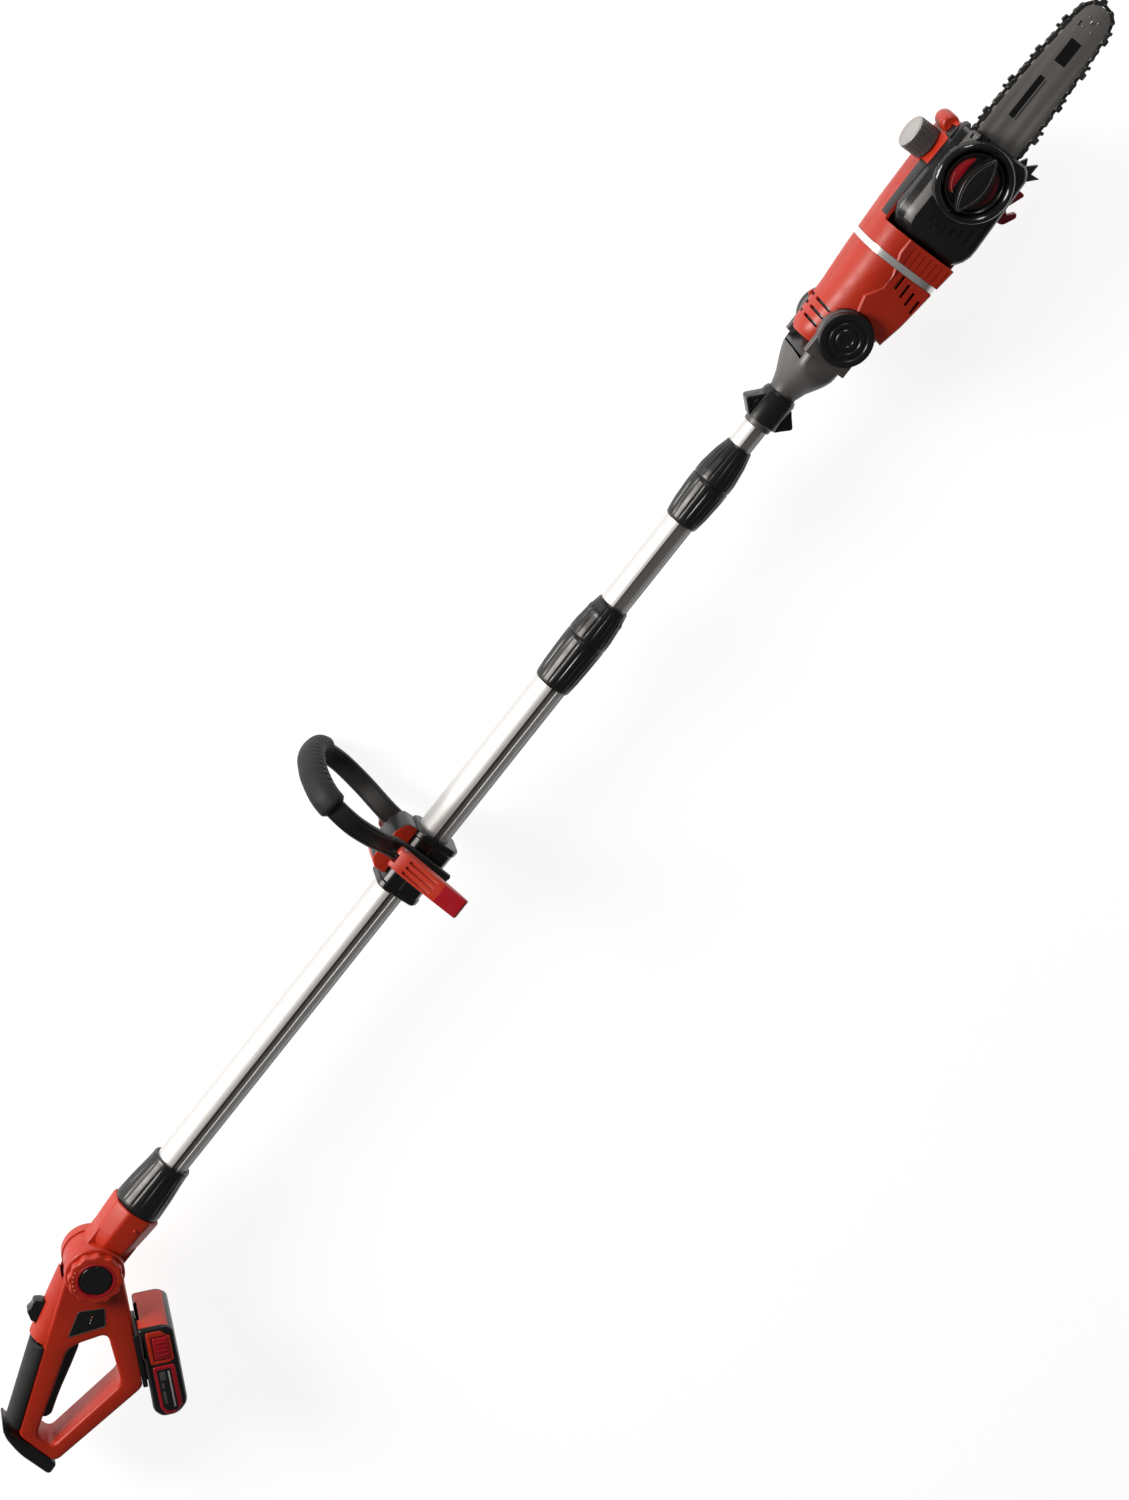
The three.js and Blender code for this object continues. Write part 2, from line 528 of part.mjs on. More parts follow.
function buildNeck() {
  const stem = rod('X', 14.6, NECK_REAR, 1158);
  const shoulder = hull(
    section(1143, -14.5, 14.5, -14.5, 14.5, 2),
    section(1166, -21, 21, -34, 34, 2.6),
    section(1180, -24, 24, -CHEEK_OUTER, CHEEK_OUTER, 3.4),
    section(1196, -25.5, 25.5, -CHEEK_OUTER, CHEEK_OUTER, 4),
  );
  const cheeks = rod('Z', 27.5, -CHEEK_OUTER, CHEEK_OUTER, [HEAD_PIVOT, 0, 0]);
  const bridge = box(1190, HEAD_PIVOT, -25.5, 25.5, -CHEEK_OUTER, CHEEK_OUTER);
  const headRoom = rod('Z', FORK_CLEARANCE, -CHEEK_INNER, CHEEK_INNER, [HEAD_PIVOT, 0, 0]);
  const beyond = box(HEAD_PIVOT - 10, 1300, -80, 80, -CHEEK_INNER, CHEEK_INNER);
  const tubeBore = rod('X', TOP.radius + GAP, NECK_REAR - 5, NECK_REAR + 26);
  const leadWay = rod('X', 6, NECK_REAR, 1190, [0, 0, 0], 18);
  const pinBore = rod('Z', 5.3, -60, 60, [HEAD_PIVOT, 0, 0], 24);
  const whole = join(stem, shoulder, cheeks, bridge);
  add('neck_fork', cut(whole, headRoom, beyond, tubeBore, leadWay, pinBore), GREY);

  const sleeve = rod('X', 18, 1106, 1140);
  const wing = (side) => {
    const [root, tip] = [15 * side, WING_TIP * side];
    const corners = [[1106, root], [1117, tip], [1119.5, tip], [1133, root]];
    return prism('Z', rounded(corners, 1.2), -8, 8, 0, 3);
  };
  const room = rod('X', 14.9, 1100, 1150);
  add('tilt_lock_slider', cut(join(sleeve, wing(1), wing(-1)), room), BLACK);

  add('pivot_pin', rod('Z', 5, -40, 40, [HEAD_PIVOT, 0, 0], 24), STEEL);
  const step = (face) => [
    [CHEEK_OUTER + 3, 0], [CHEEK_OUTER + 3, 8], [CHEEK_OUTER + GAP, 8], [CHEEK_OUTER + GAP, PIVOT_CAP_RADIUS],
    [face - 2, PIVOT_CAP_RADIUS], [face, PIVOT_CAP_RADIUS - 2], [face, PIVOT_CAP_RADIUS - 7],
    [face - 1.6, PIVOT_CAP_RADIUS - 8], [face - 1.6, 0],
  ];
  const cap = turned('Z', step(CAP_FACE), [HEAD_PIVOT, 0, 0]);
  add('pivot_cap_right', cap, BLACK);
  add('pivot_cap_left', cap.clone().rotateX(180 * DEG), BLACK);
}

// ---------------------------------------------------------------- head housing

function headBody(wall) {
  const ring = (x, y0, y1, half, squareness) =>
    section(x, y0 + wall, y1 - wall, wall - half, half - wall, squareness, 20);
  return hull(
    ring(1198 + wall, -8, 32, 20, 2.2),
    ring(1206 + wall, -28, 35.5, 27, 2.6),
    ring(1250, -43, 36, 36, 2.7),
    ring(1290, -50, 38.5, 41, 2.8),
    ring(1345, -51, 41, 42, 3),
    ring(1425, -46, 42, 40, 3.4),
    ring(1446 - wall, -38, 40, 34, 3.4),
  );
}

/** What the sprocket cover needs clear on the +Z side, and the fork's cheeks near the pivot. */
function headCuts() {
  const cheek = (z0, z1) => rod('Z', 28.6, z0, z1, [HEAD_PIVOT, 0, 0]);
  const behind = (z0, z1) => box(1150, HEAD_PIVOT, -28.6, 28.6, z0, z1);
  const near = CHEEK_INNER - 0.4;
  return [
    cheek(near, 60), cheek(-60, -near), behind(near, 60), behind(-60, -near),
    rod('Z', 5.3, -60, 60, [HEAD_PIVOT, 0, 0], 24),
    rod('Z', 5, 0, 60, [KNOB_X, 0, 0], 20),
    rod('Z', 11, 0, 60, [SPROCKET_X, 0, 0], 24),
    rod('X', 6, 1190, 1215, [0, 0, 0], 18),
    box(COVER.rear - GAP, 1500, -90, COVER_TOP + GAP, COVER.floor, 90),
  ];
}

function buildHead() {
  const coverSeat = box(COVER.rear - WALL, 1500, -90, COVER_TOP + WALL, COVER.floor - WALL, 90);
  const hollow = cut(headBody(WALL), coverSeat);
  const fillerBore = new THREE.CylinderGeometry(11, 11, 40, 24).translate(FILLER_X, 40, 0);
  const bandBox = box(BAND.rear - GAP, BAND.front + GAP, -90, 90, -90, 90);
  const bandRoom = cut(bandBox, headBody(1.4));
  const nose = rod('Z', 9, -12, 14, [1440, 41, 0]);
  const shell = cut(join(headBody(0), nose), hollow, ...headCuts(), fillerBore, bandRoom);
  add('head_shell_right', common(shell, box(1100, 1500, -90, 90, GAP / 2, 90)), RED);
  add('head_shell_left', common(shell, box(1100, 1500, -90, 90, -90, -GAP / 2)), RED);
  const bandRing = cut(headBody(-0.3), headBody(1.1));
  add('silver_band', common(bandRing, box(BAND.rear, BAND.front, -90, 90, -90, 90)), ALUMINIUM);

  const coverBody = (wall) => hull(
    section(COVER.rear + wall, -40, 22, COVER.floor - 20, COVER.face - 8 - wall, 3),
    section(COVER.rear + 20, -50 + wall, COVER_TOP - wall, COVER.floor - 20, COVER.face - wall, 4),
    section(COVER.front - 12, -46 + wall, COVER_TOP - wall, COVER.floor - 20, COVER.face - wall, 4),
    section(COVER.front - wall, -38, 34, COVER.floor - 20, COVER.face - 6 - wall, 4),
  );
  const above = box(1300, 1500, -90, 90, COVER.floor + GAP, 90);
  const knobBore = rod('Z', 9, 0, 90, [KNOB_X, 0, 0], 24);
  const exitHalf = BAR_HALF_WIDTH + 7;
  const barExit = box(COVER.front - 20, 1500, -exitHalf, exitHalf, 0, BAR_Z + 5);
  const cavity = common(coverBody(3), box(1300, 1500, -90, 90, 0, 90));
  add('sprocket_cover', cut(common(coverBody(0), above), cavity, knobBore, barExit), BLACK);

  const knobBase = COVER.face + GAP;
  add('tension_ring', turned('Z', [
    [knobBase, 30.5], [knobBase, KNOB_RADIUS], [knobBase + 5, KNOB_RADIUS], [knobBase + 9, KNOB_RADIUS - 3],
    [knobBase + 9, KNOB_RADIUS - 6], [knobBase + 5, 30.5], [knobBase, 30.5],
  ], [KNOB_X, 0, 0]), BLACK);
  const dish = turned('Z', [
    [COVER.face - 5, 4.3], [COVER.face - 5, 8.6], [knobBase, 8.6], [knobBase, 30], [knobBase + 4, 30],
    [knobBase + 6, 27], [knobBase + 3, 24], [knobBase + 3, 4.3], [COVER.face - 5, 4.3],
  ], [KNOB_X, 0, 0]);
  const lens = new THREE.Shape();
  lens.moveTo(-32, 0);
  lens.quadraticCurveTo(0, 13, 32, 0);
  lens.quadraticCurveTo(0, -13, -32, 0);
  const gripBar = prism('Z', lens, knobBase + 1, knobBase + 14, 0, 8).translate(KNOB_X, 0, 0);
  const studRoom = rod('Z', 4.3, 0, knobBase + 6, [KNOB_X, 0, 0], 20);
  const ringRoom = tube('Z', 30.1, 60, 0, knobBase + 20, [KNOB_X, 0, 0]);
  add('cover_knob', cut(join(dish, gripBar), studRoom, ringRoom), BLACK);
  add('bar_stud', rod('Z', 4, 8, knobBase + 4, [KNOB_X, 0, 0], 20), STEEL);

  const capProfile = [[42.6, 0], [42.6, 16], [44, 17], [62, 17], [65, 15.5], [65, 0]];
  const oilCap = new THREE.LatheGeometry(capProfile.map(([y, r]) => new THREE.Vector2(r, y)), 24);
  const plug = new THREE.CylinderGeometry(10, 10, 14, 20).translate(0, 37, 0);
  add('oil_cap', join(oilCap, plug).translate(FILLER_X, 0, 0), GREY);

  const hook = rounded([
    [1392, -49], [1394, -66], [1408, -73], [1412, -70], [1404, -63], [1410, -58], [1430, -66], [1430, -49],
  ], 2);
  add('branch_hook', cut(prism('Z', hook, 4, 12, 0.8, 3), headBody(-GAP)), RED);
  const teeth = rounded([
    [1446, -33], [1459, -41], [1452, -45], [1460, -54], [1449, -54], [1450, -64], [1441, -55], [1436, -50],
    [1436, -33],
  ], 1);
  add('bumper_spike', cut(prism('Z', teeth, 14, 17.5, 0, 2), headBody(-GAP)), BLACK);
}

// ---------------------------------------------------------------- what the head holds

function toothed(count, root, tip, hole) {
  const shape = new THREE.Shape();
  const steps = [[0, root], [0.34, root], [0.46, tip], [0.84, tip]];
  for (let i = 0; i < count; i += 1) {
    steps.forEach(([part, radius], j) => {
      const turn = ((i + part) / count) * 2 * Math.PI;
      const [x, y] = [radius * Math.cos(turn), radius * Math.sin(turn)];
      if (i + j === 0) shape.moveTo(x, y);
      else shape.lineTo(x, y);
    });
  }
  shape.closePath();
  if (hole > 0) shape.holes.push(circle(0, 0, hole));
  return shape;
}

function buildDrive() {
  const at = [SPROCKET_X, 0, 0];
  const shaft = rod('Z', 5, -24, BAR_Z + 8, at, 20);
  const sprocket = prism('Z', toothed(6, 10.5, SPROCKET_RADIUS, 4), BAR_Z - 3, BAR_Z + 3, 0, 8);
  add('drive_sprocket', join(shaft, sprocket.translate(...at)), STEEL);
  const crown = prism('Z', toothed(24, 18, 20.5, 5.3), -18, -9, 0, 6);
  add('crown_gear', crown.translate(...at), STEEL);

  const motorAxis = [0, 0, 0];
  const canRear = 1262;
  const canFront = 1330;
  add('motor_can', turned('X', [
    [canRear, 6], [canRear, 22], [canFront, 22], [canFront, 6], [canFront - 3, 6], [canFront - 3, 19.5],
    [canRear + 3, 19.5], [canRear + 3, 6], [canRear, 6],
  ], motorAxis), STEEL);
  const core = rod('X', 18.5, canRear + 12, canFront - 12, motorAxis, 24);
  const spindle = rod('X', 4, canRear - 12, SPROCKET_X - 8, motorAxis, 16);
  const pinion = prism('X', toothed(8, 6.2, 8.4, 0), SPROCKET_X - 22, SPROCKET_X - 8);
  add('armature', join(core, spindle, pinion), COPPER);
  add('rear_bearing', tube('X', 4.3, 11, canRear - 9, canRear - 2, motorAxis, 24), STEEL);
  add('front_bearing', tube('X', 4.3, 11, canFront + 2, canFront + 9, motorAxis, 24), STEEL);

  const tank = hull(section(1397, 8, 36, -31, 16, 3, 16), section(1434, 8, 34, -28, 14, 3, 16));
  const tankHollow = hull(section(1400, 11, 33, -28, 13, 3, 16), section(1431, 11, 31, -25, 11, 3, 16));
  const neckBore = new THREE.CylinderGeometry(10.6, 10.6, 40, 24).translate(FILLER_X, 40, 0);
  add('oil_tank', cut(tank, tankHollow, neckBore), GREY);
}

// ---------------------------------------------------------------- guide bar and chain

function buildBar() {
  const half = BAR_HALF_WIDTH;
  const tangentX = NOSE_X + BAR_NOSE_RADIUS * Math.cos(NOSE_TANGENT);
  const tangentY = BAR_NOSE_RADIUS * Math.sin(NOSE_TANGENT);
  const shape = new THREE.Shape();
  shape.moveTo(BAR_TAIL, -BAR_TAIL_HALF);
  shape.lineTo(BAR_SHOULDER, -half);
  shape.lineTo(BAR_STRAIGHT_END, -half);
  shape.quadraticCurveTo(BAR_CURVE_X, -half, tangentX, -tangentY);
  shape.absarc(NOSE_X, 0, BAR_NOSE_RADIUS, -NOSE_TANGENT, NOSE_TANGENT);
  shape.quadraticCurveTo(BAR_CURVE_X, half, BAR_STRAIGHT_END, half);
  shape.lineTo(BAR_SHOULDER, half);
  shape.lineTo(BAR_TAIL, BAR_TAIL_HALF);
  shape.closePath();
  const slot = new THREE.Path();
  slot.absarc(KNOB_X + 14, 0, 4.6, -Math.PI / 2, Math.PI / 2);
  slot.absarc(KNOB_X - 6, 0, 4.6, Math.PI / 2, 1.5 * Math.PI);
  slot.closePath();
  shape.holes.push(slot);
  const blank = prism('Z', shape, BAR_Z - BAR_HALF_THICK, BAR_Z + BAR_HALF_THICK, 0, 14);
  const pocket = tube('Z', 3.2, 30, BAR_Z - 0.9, BAR_Z + 0.9, [NOSE_X, 0, 0]);
  const noseSide = box(NOSE_X - 14, 1700, -40, 40, 0, 60);
  add('guide_bar', cut(blank, common(pocket, noseSide)), STEEL);
  const star = prism('Z', toothed(9, 11, 13.4, 3.5), BAR_Z - 0.6, BAR_Z + 0.6, 0, 8);
  add('nose_sprocket', star.translate(NOSE_X, 0, 0), STEEL);
}

/** The loop that the chain follows, a given distance outside the bar's edge and its sprocket. */
function chainLoop(offset) {
  const radius = BAR_NOSE_RADIUS + offset;
  const half = BAR_HALF_WIDTH + offset;
  const back = SPROCKET_RADIUS + 3 + offset;
  const at = (x, y) => new THREE.Vector2(x, y);
  const tangentX = NOSE_X + radius * Math.cos(NOSE_TANGENT);
  const tangentY = radius * Math.sin(NOSE_TANGENT);
  const side = (y) => [at(SPROCKET_X, y * back), at(BAR_SHOULDER, y * half), at(BAR_STRAIGHT_END, y * half),
    at(BAR_CURVE_X, y * half), at(tangentX, y * tangentY)];
  const lower = side(-1);
  const upper = side(1);
  const path = new THREE.CurvePath();
  path.add(new THREE.LineCurve(lower[0], lower[1]));
  path.add(new THREE.LineCurve(lower[1], lower[2]));
  path.add(new THREE.QuadraticBezierCurve(lower[2], lower[3], lower[4]));
  path.add(new THREE.EllipseCurve(NOSE_X, 0, radius, radius, -NOSE_TANGENT, NOSE_TANGENT));
  path.add(new THREE.QuadraticBezierCurve(upper[4], upper[3], upper[2]));
  path.add(new THREE.LineCurve(upper[2], upper[1]));
  path.add(new THREE.LineCurve(upper[1], upper[0]));
  path.add(new THREE.EllipseCurve(SPROCKET_X, 0, back, back, Math.PI / 2, 1.5 * Math.PI));
  return path;
}

/** The closed chain, with a raised cutter every few links around its outside. */
function buildChain() {
  const inner = chainLoop(0.8);
  const strap = chainLoop(CHAIN_DEPTH - 1.4);
  const cutter = chainLoop(CHAIN_DEPTH + 2.2);
  const length = strap.getLength();
  const links = Math.round(length / CUTTER_PITCH);
  const shape = new THREE.Shape();
  const steps = [[0, strap], [0.2, strap], [0.24, cutter], [0.5, cutter], [0.53, strap], [0.76, strap]];
  for (let i = 0; i < links; i += 1) {
    steps.forEach(([part, loop], j) => {
      const point = loop.getPointAt((i + part) / links);
      if (i + j === 0) shape.moveTo(point.x, point.y);
      else shape.lineTo(point.x, point.y);
    });
  }
  shape.closePath();
  const hole = new THREE.Path();
  const innerPoints = 76;
  for (let i = 0; i < innerPoints; i += 1) {
    const point = inner.getPointAt(i / innerPoints);
    if (i === 0) hole.moveTo(point.x, point.y);
    else hole.lineTo(point.x, point.y);
  }
  hole.closePath();
  shape.holes.push(hole);
  add('saw_chain', prism('Z', shape, BAR_Z - CHAIN_HALF_THICK, BAR_Z + CHAIN_HALF_THICK), BLACK);
}

buildPole();
buildSocket();
buildHandleShells();
buildHandleParts();
buildBattery();
buildLoop();
buildNeck();
buildHead();
buildDrive();
buildBar();
buildChain();

// The origin is the middle of the underside of the saw as it lies on its side.
const bounds = new THREE.Box3().setFromObject(saw);
const middle = bounds.getCenter(new THREE.Vector3());
saw.position.set(-middle.x, -middle.y, -bounds.min.z);

const whole = new THREE.Group();
whole.add(saw);

export default whole;
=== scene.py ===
"""A cordless telescoping pole saw: its looks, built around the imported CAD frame.

Pieces are drawn in millimetres in the drawing frame: X runs along the pole from the hinge of
the rear handle, Y points to the side of the loop handle and Z out of the sprocket cover, both
from the axis of the pole. place() turns a drawn point into metres in the frame's own axes.
"""

import json
import math

import bmesh
import bpy
from mathutils import Matrix, Vector


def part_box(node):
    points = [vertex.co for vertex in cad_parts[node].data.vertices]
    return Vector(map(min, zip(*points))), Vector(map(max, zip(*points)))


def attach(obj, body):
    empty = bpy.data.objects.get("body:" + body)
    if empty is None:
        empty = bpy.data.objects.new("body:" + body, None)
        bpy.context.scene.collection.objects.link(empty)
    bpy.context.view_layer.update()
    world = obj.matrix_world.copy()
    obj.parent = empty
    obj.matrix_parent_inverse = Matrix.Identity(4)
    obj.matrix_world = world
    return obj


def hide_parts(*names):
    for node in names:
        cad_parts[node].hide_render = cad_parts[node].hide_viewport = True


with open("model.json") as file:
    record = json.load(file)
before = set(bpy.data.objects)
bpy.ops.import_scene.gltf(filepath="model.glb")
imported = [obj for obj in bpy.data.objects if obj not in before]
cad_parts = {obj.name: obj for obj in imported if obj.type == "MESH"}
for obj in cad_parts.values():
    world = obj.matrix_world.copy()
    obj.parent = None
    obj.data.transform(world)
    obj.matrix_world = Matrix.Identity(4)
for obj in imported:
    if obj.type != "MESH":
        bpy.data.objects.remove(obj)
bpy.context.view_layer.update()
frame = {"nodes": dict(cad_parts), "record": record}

MM = 0.001
TAU = 2 * math.pi
UPRIGHT = Matrix(((1, 0, 0, 0), (0, 0, 1, 0), (0, -1, 0, 0), (0, 0, 0, 1)))      # drawn Z becomes Y
SIDES = ((1, "right"), (-1, "left"))       # the +Z and -Z sides
scene = bpy.context.scene


def middle(node):
    low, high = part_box(node)
    return (low + high) / 2


HINGE = Vector((middle("tilt_knob").x, middle("lock_one_body").y, middle("lock_one_body").z))


def place(x, y, z):
    return HINGE + Vector((x, y, z)) * MM


def drawn_x(node, side=0):
    """Where a node starts (side 0) or ends (side 1) along the pole, in drawn millimetres."""
    return (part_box(node)[side].x - HINGE.x) / MM


# ------------------------------------------------------------------ camera, floor and light

CAMERA_YAW = math.radians(12.5)
CAMERA_TILT = math.radians(24)
CAMERA_ROLL = math.radians(51.4)
CAMERA_AT = (1542.9, 1442.7, 3365.3)
LENS = 91.2


def build_camera():
    yaw, tilt, roll = CAMERA_YAW, CAMERA_TILT, CAMERA_ROLL
    back = Vector((math.sin(yaw), math.cos(yaw) * math.sin(tilt), math.cos(yaw) * math.cos(tilt)))
    along = Vector((math.cos(yaw), -math.sin(yaw) * math.sin(tilt), -math.sin(yaw) * math.cos(tilt)))
    across = back.cross(along)
    right = along * math.cos(roll) - across * math.sin(roll)
    up = along * math.sin(roll) + across * math.cos(roll)
    data = bpy.data.cameras.new("camera")
    data.sensor_width = 36
    data.lens = LENS
    data.clip_end = 50
    camera = bpy.data.objects.new("camera", data)
    turn = Matrix((right, up, back)).transposed().to_4x4()
    camera.matrix_world = Matrix.Translation(place(*CAMERA_AT)) @ turn
    scene.collection.objects.link(camera)
    scene.camera = camera


def area_light(name, at, size, power, color=(1, 1, 1)):
    data = bpy.data.lights.new(name, "AREA")
    data.shape = "DISK"
    data.size = size
    data.energy = power
    data.color = color
    light = bpy.data.objects.new(name, data)
    light.location = at
    light.rotation_euler = (-Vector(at)).to_track_quat("-Z", "Y").to_euler()
    scene.collection.objects.link(light)


def build_stage():
    half = 30
    mesh = bpy.data.meshes.new("floor")
    corners = [(-half, -half, 0), (half, -half, 0), (half, half, 0), (-half, half, 0)]
    mesh.from_pydata(corners, [], [(0, 1, 2, 3)])
    floor = bpy.data.objects.new("floor", mesh)
    floor.location.z = -0.0005
    scene.collection.objects.link(floor)
    material = bpy.data.materials.new("floor")
    material.use_nodes = True
    shader = material.node_tree.nodes["Principled BSDF"]
    shader.inputs["Base Color"].default_value = (0.34, 0.34, 0.34, 1)
    shader.inputs["Roughness"].default_value = 0.9
    shader.inputs["Specular IOR Level"].default_value = 0.1
    shader.inputs["Emission Color"].default_value = (1, 1, 1, 1)
    shader.inputs["Emission Strength"].default_value = 0.86
    mesh.materials.append(material)

    world = bpy.data.worlds.new("studio")
    world.use_nodes = True
    world.node_tree.nodes["Background"].inputs[0].default_value = (1, 1, 1, 1)
    world.node_tree.nodes["Background"].inputs[1].default_value = 0.11
    scene.world = world
    area_light("key", (-0.9, 3.2, 1.25), 1.7, 150, (1, 0.95, 0.90))
    area_light("rim", (2.6, 1.4, 1.2), 0.8, 20)
    scene.view_settings.view_transform = "Standard"


# ------------------------------------------------------------------ materials

class Recipe:
    """A Principled material with helpers that add noise-driven variation and bump."""

    def __init__(self, name, color, roughness, metallic=0.0, specular=0.5, coat=0.0):
        self.material = bpy.data.materials.new(name)
        self.material.use_nodes = True
        self.tree = self.material.node_tree
        self.shader = self.tree.nodes["Principled BSDF"]
        self.color = (*color, 1)
        self.roughness = roughness
        self.shader.inputs["Base Color"].default_value = self.color
        self.shader.inputs["Roughness"].default_value = roughness
        self.shader.inputs["Metallic"].default_value = metallic
        self.shader.inputs["Specular IOR Level"].default_value = specular
        if coat:
            self.shader.inputs["Coat Weight"].default_value = coat
            self.shader.inputs["Coat Roughness"].default_value = 0.12
        self.place = self.node("ShaderNodeTexCoord").outputs["Object"]
        self.normal = None

    def node(self, kind, **inputs):
        made = self.tree.nodes.new(kind)
        for key, value in inputs.items():
            made.inputs[key.replace("_", " ")].default_value = value
        return made

    def link(self, output, target):
        self.tree.links.new(output, target)

    def noise(self, scale, detail=4.0, stretch=(1, 1, 1)):
        mapping = self.node("ShaderNodeMapping", Scale=stretch)
        self.link(self.place, mapping.inputs["Vector"])
        noise = self.node("ShaderNodeTexNoise", Scale=scale, Detail=detail)
        self.link(mapping.outputs[0], noise.inputs["Vector"])
        return noise.outputs["Fac"]

    def spread(self, source, low, high):
        """The source, remapped from the middle of a noise's range to low..high."""
        ramp = self.node("ShaderNodeMapRange", From_Min=0.3, From_Max=0.7, To_Min=low, To_Max=high)
        self.link(source, ramp.inputs["Value"])
        return ramp.outputs[0]

    def vary_color(self, source, other, amount=1.0):
        mix = self.tree.nodes.new("ShaderNodeMix")
        mix.data_type = "RGBA"
        mix.inputs["A"].default_value = self.color
        mix.inputs["B"].default_value = (*other, 1)
        self.link(self.spread(source, 0.0, amount), mix.inputs["Factor"])
        self.link(mix.outputs["Result"], self.shader.inputs["Base Color"])
        return self

    def vary_roughness(self, source, low, high):
        self.link(self.spread(source, low, high), self.shader.inputs["Roughness"])
        return self

    def bump(self, source, height, distance=0.001):
        bump = self.node("ShaderNodeBump", Strength=height, Distance=distance)
        self.link(source, bump.inputs["Height"])
        if self.normal is not None:
            self.link(self.normal, bump.inputs["Normal"])
        self.normal = bump.outputs[0]
        self.link(self.normal, self.shader.inputs["Normal"])
        return self


def moulded(name, color, other, roughness, grain=0.08, specular=0.5, coat=0.0):
    """Moulded plastic: a fine grain, a slow change of tone and slightly uneven gloss."""
    r = Recipe(name, color, roughness, specular=specular, coat=coat)
    r.vary_color(r.noise(9), other)
    r.vary_roughness(r.noise(60), roughness * 0.85, roughness * 1.2)
    return r.bump(r.noise(2600, 2), grain, 0.0002).material


def drawn_metal(name, color, other, roughness, stretch, metallic=1.0):
    """Metal with fine lines along the direction that the stretch leaves long."""
    r = Recipe(name, color, roughness, metallic=metallic)
    lines = r.noise(900, 3, stretch)
    r.vary_color(r.noise(30, 3, stretch), other)
    r.vary_roughness(lines, roughness * 0.8, roughness * 1.25)
    return r.bump(lines, 0.05, 0.0002).material


def ribbed_rubber(name, color, other):
    r = Recipe(name, color, 0.55, specular=0.22)
    r.vary_color(r.noise(14), other)
    return r.bump(r.noise(3400, 3), 0.25, 0.0003).material


RED = moulded("red_plastic", (0.40, 0.017, 0.004), (0.45, 0.024, 0.004), 0.42, specular=0.5)
DEEP_RED = moulded("deep_red_plastic", (0.30, 0.002, 0.010), (0.34, 0.004, 0.011), 0.34)
BLACK = moulded("black_plastic", (0.0045, 0.0045, 0.005), (0.008, 0.008, 0.0085), 0.33)
SATIN_BLACK = moulded("satin_black_plastic", (0.0055, 0.0055, 0.006), (0.009, 0.009, 0.0095), 0.28)
GREY = moulded("grey_plastic", (0.062, 0.058, 0.057), (0.078, 0.073, 0.071), 0.4)
# A lighter grey for the cover's wide bevel: a painted highlight.
COVER_BEVEL_HIGHLIGHT = moulded("cover_bevel_painted_highlight", (0.10, 0.096, 0.094), (0.13, 0.125, 0.12), 0.38)
# Pale grey for the window dots and the battery stripe, and as a painted highlight on the oil cap's end.
PALE_GREY_AND_HIGHLIGHT = moulded("pale_grey_plastic_and_painted_highlight", (0.30, 0.29, 0.285), (0.36, 0.35, 0.34), 0.38)
RUBBER = ribbed_rubber("black_rubber", (0.009, 0.009, 0.0095), (0.015, 0.015, 0.0155))
TUBE = drawn_metal("drawn_aluminium", (0.66, 0.655, 0.65), (0.60, 0.595, 0.59), 0.5, (0.004, 1, 1), 0.6)
BAR_STEEL = drawn_metal("bar_steel", (0.30, 0.285, 0.27), (0.22, 0.21, 0.20), 0.45, (0.05, 1, 1), 0.45)
STEEL = drawn_metal("steel", (0.5, 0.5, 0.5), (0.4, 0.4, 0.4), 0.32, (1, 1, 1))
CHAIN_STEEL = drawn_metal("chain_steel", (0.055, 0.054, 0.054), (0.12, 0.118, 0.115), 0.38, (1, 1, 1), 0.8)
SILVER = drawn_metal("silver_trim", (0.82, 0.81, 0.80), (0.72, 0.71, 0.70), 0.28, (1, 1, 1), 0.7)
GLOSS_BLACK = moulded("gloss_black_plastic", (0.006, 0.006, 0.007), (0.009, 0.009, 0.01), 0.14, grain=0.01)
STRAP = moulded("charcoal_plastic", (0.008, 0.0075, 0.0075), (0.012, 0.0115, 0.0115), 0.42, specular=0.35)
# Dark grey for the tube groove floors and the fine tube lines: painted shade and painted reflection.
GROOVE_SHADE = moulded("tube_groove_painted_shade", (0.115, 0.108, 0.104), (0.14, 0.132, 0.127), 0.6, grain=0.02, specular=0.3)
# Pale red for printed dots, and as a painted highlight on the upper knob crescent's line.
LIT = moulded("pale_red_print_and_painted_highlight", (0.75, 0.16, 0.11), (0.7, 0.13, 0.09), 0.4)
# A darkened ruby for the lower knob crescent: painted shade.
RUBY_SHADE = moulded("ruby_plastic_painted_shade", (0.045, 0.002, 0.003), (0.07, 0.003, 0.004), 0.25, grain=0.01)
GLOW_RED = moulded("ruby_plastic", (0.36, 0.004, 0.012), (0.5, 0.01, 0.02), 0.18, grain=0.01, coat=0.5)
COPPER = drawn_metal("copper_core", (0.55, 0.26, 0.12), (0.35, 0.17, 0.09), 0.4, (1, 1, 1))

SLOT_MATERIALS = {
    "red_plastic": RED, "black_plastic": BLACK, "grey_plastic": GREY, "black_rubber": RUBBER,
    "aluminium_tube": TUBE, "bar_steel": BAR_STEEL, "steel": STEEL, "chain_steel": CHAIN_STEEL,
    "silver_trim": SILVER, "copper_core": COPPER,
}
SLOT_OF = {row["node"]: row["material_slot"] for row in frame["record"]["subparts"]}


def dress_cad_nodes():
    """Every node that no finer piece replaces keeps its shape and takes its slot's material."""
    for name, node in frame["nodes"].items():
        node.data.materials.clear()
        node.data.materials.append(SLOT_MATERIALS[SLOT_OF[name]])


# ------------------------------------------------------------------ mesh helpers

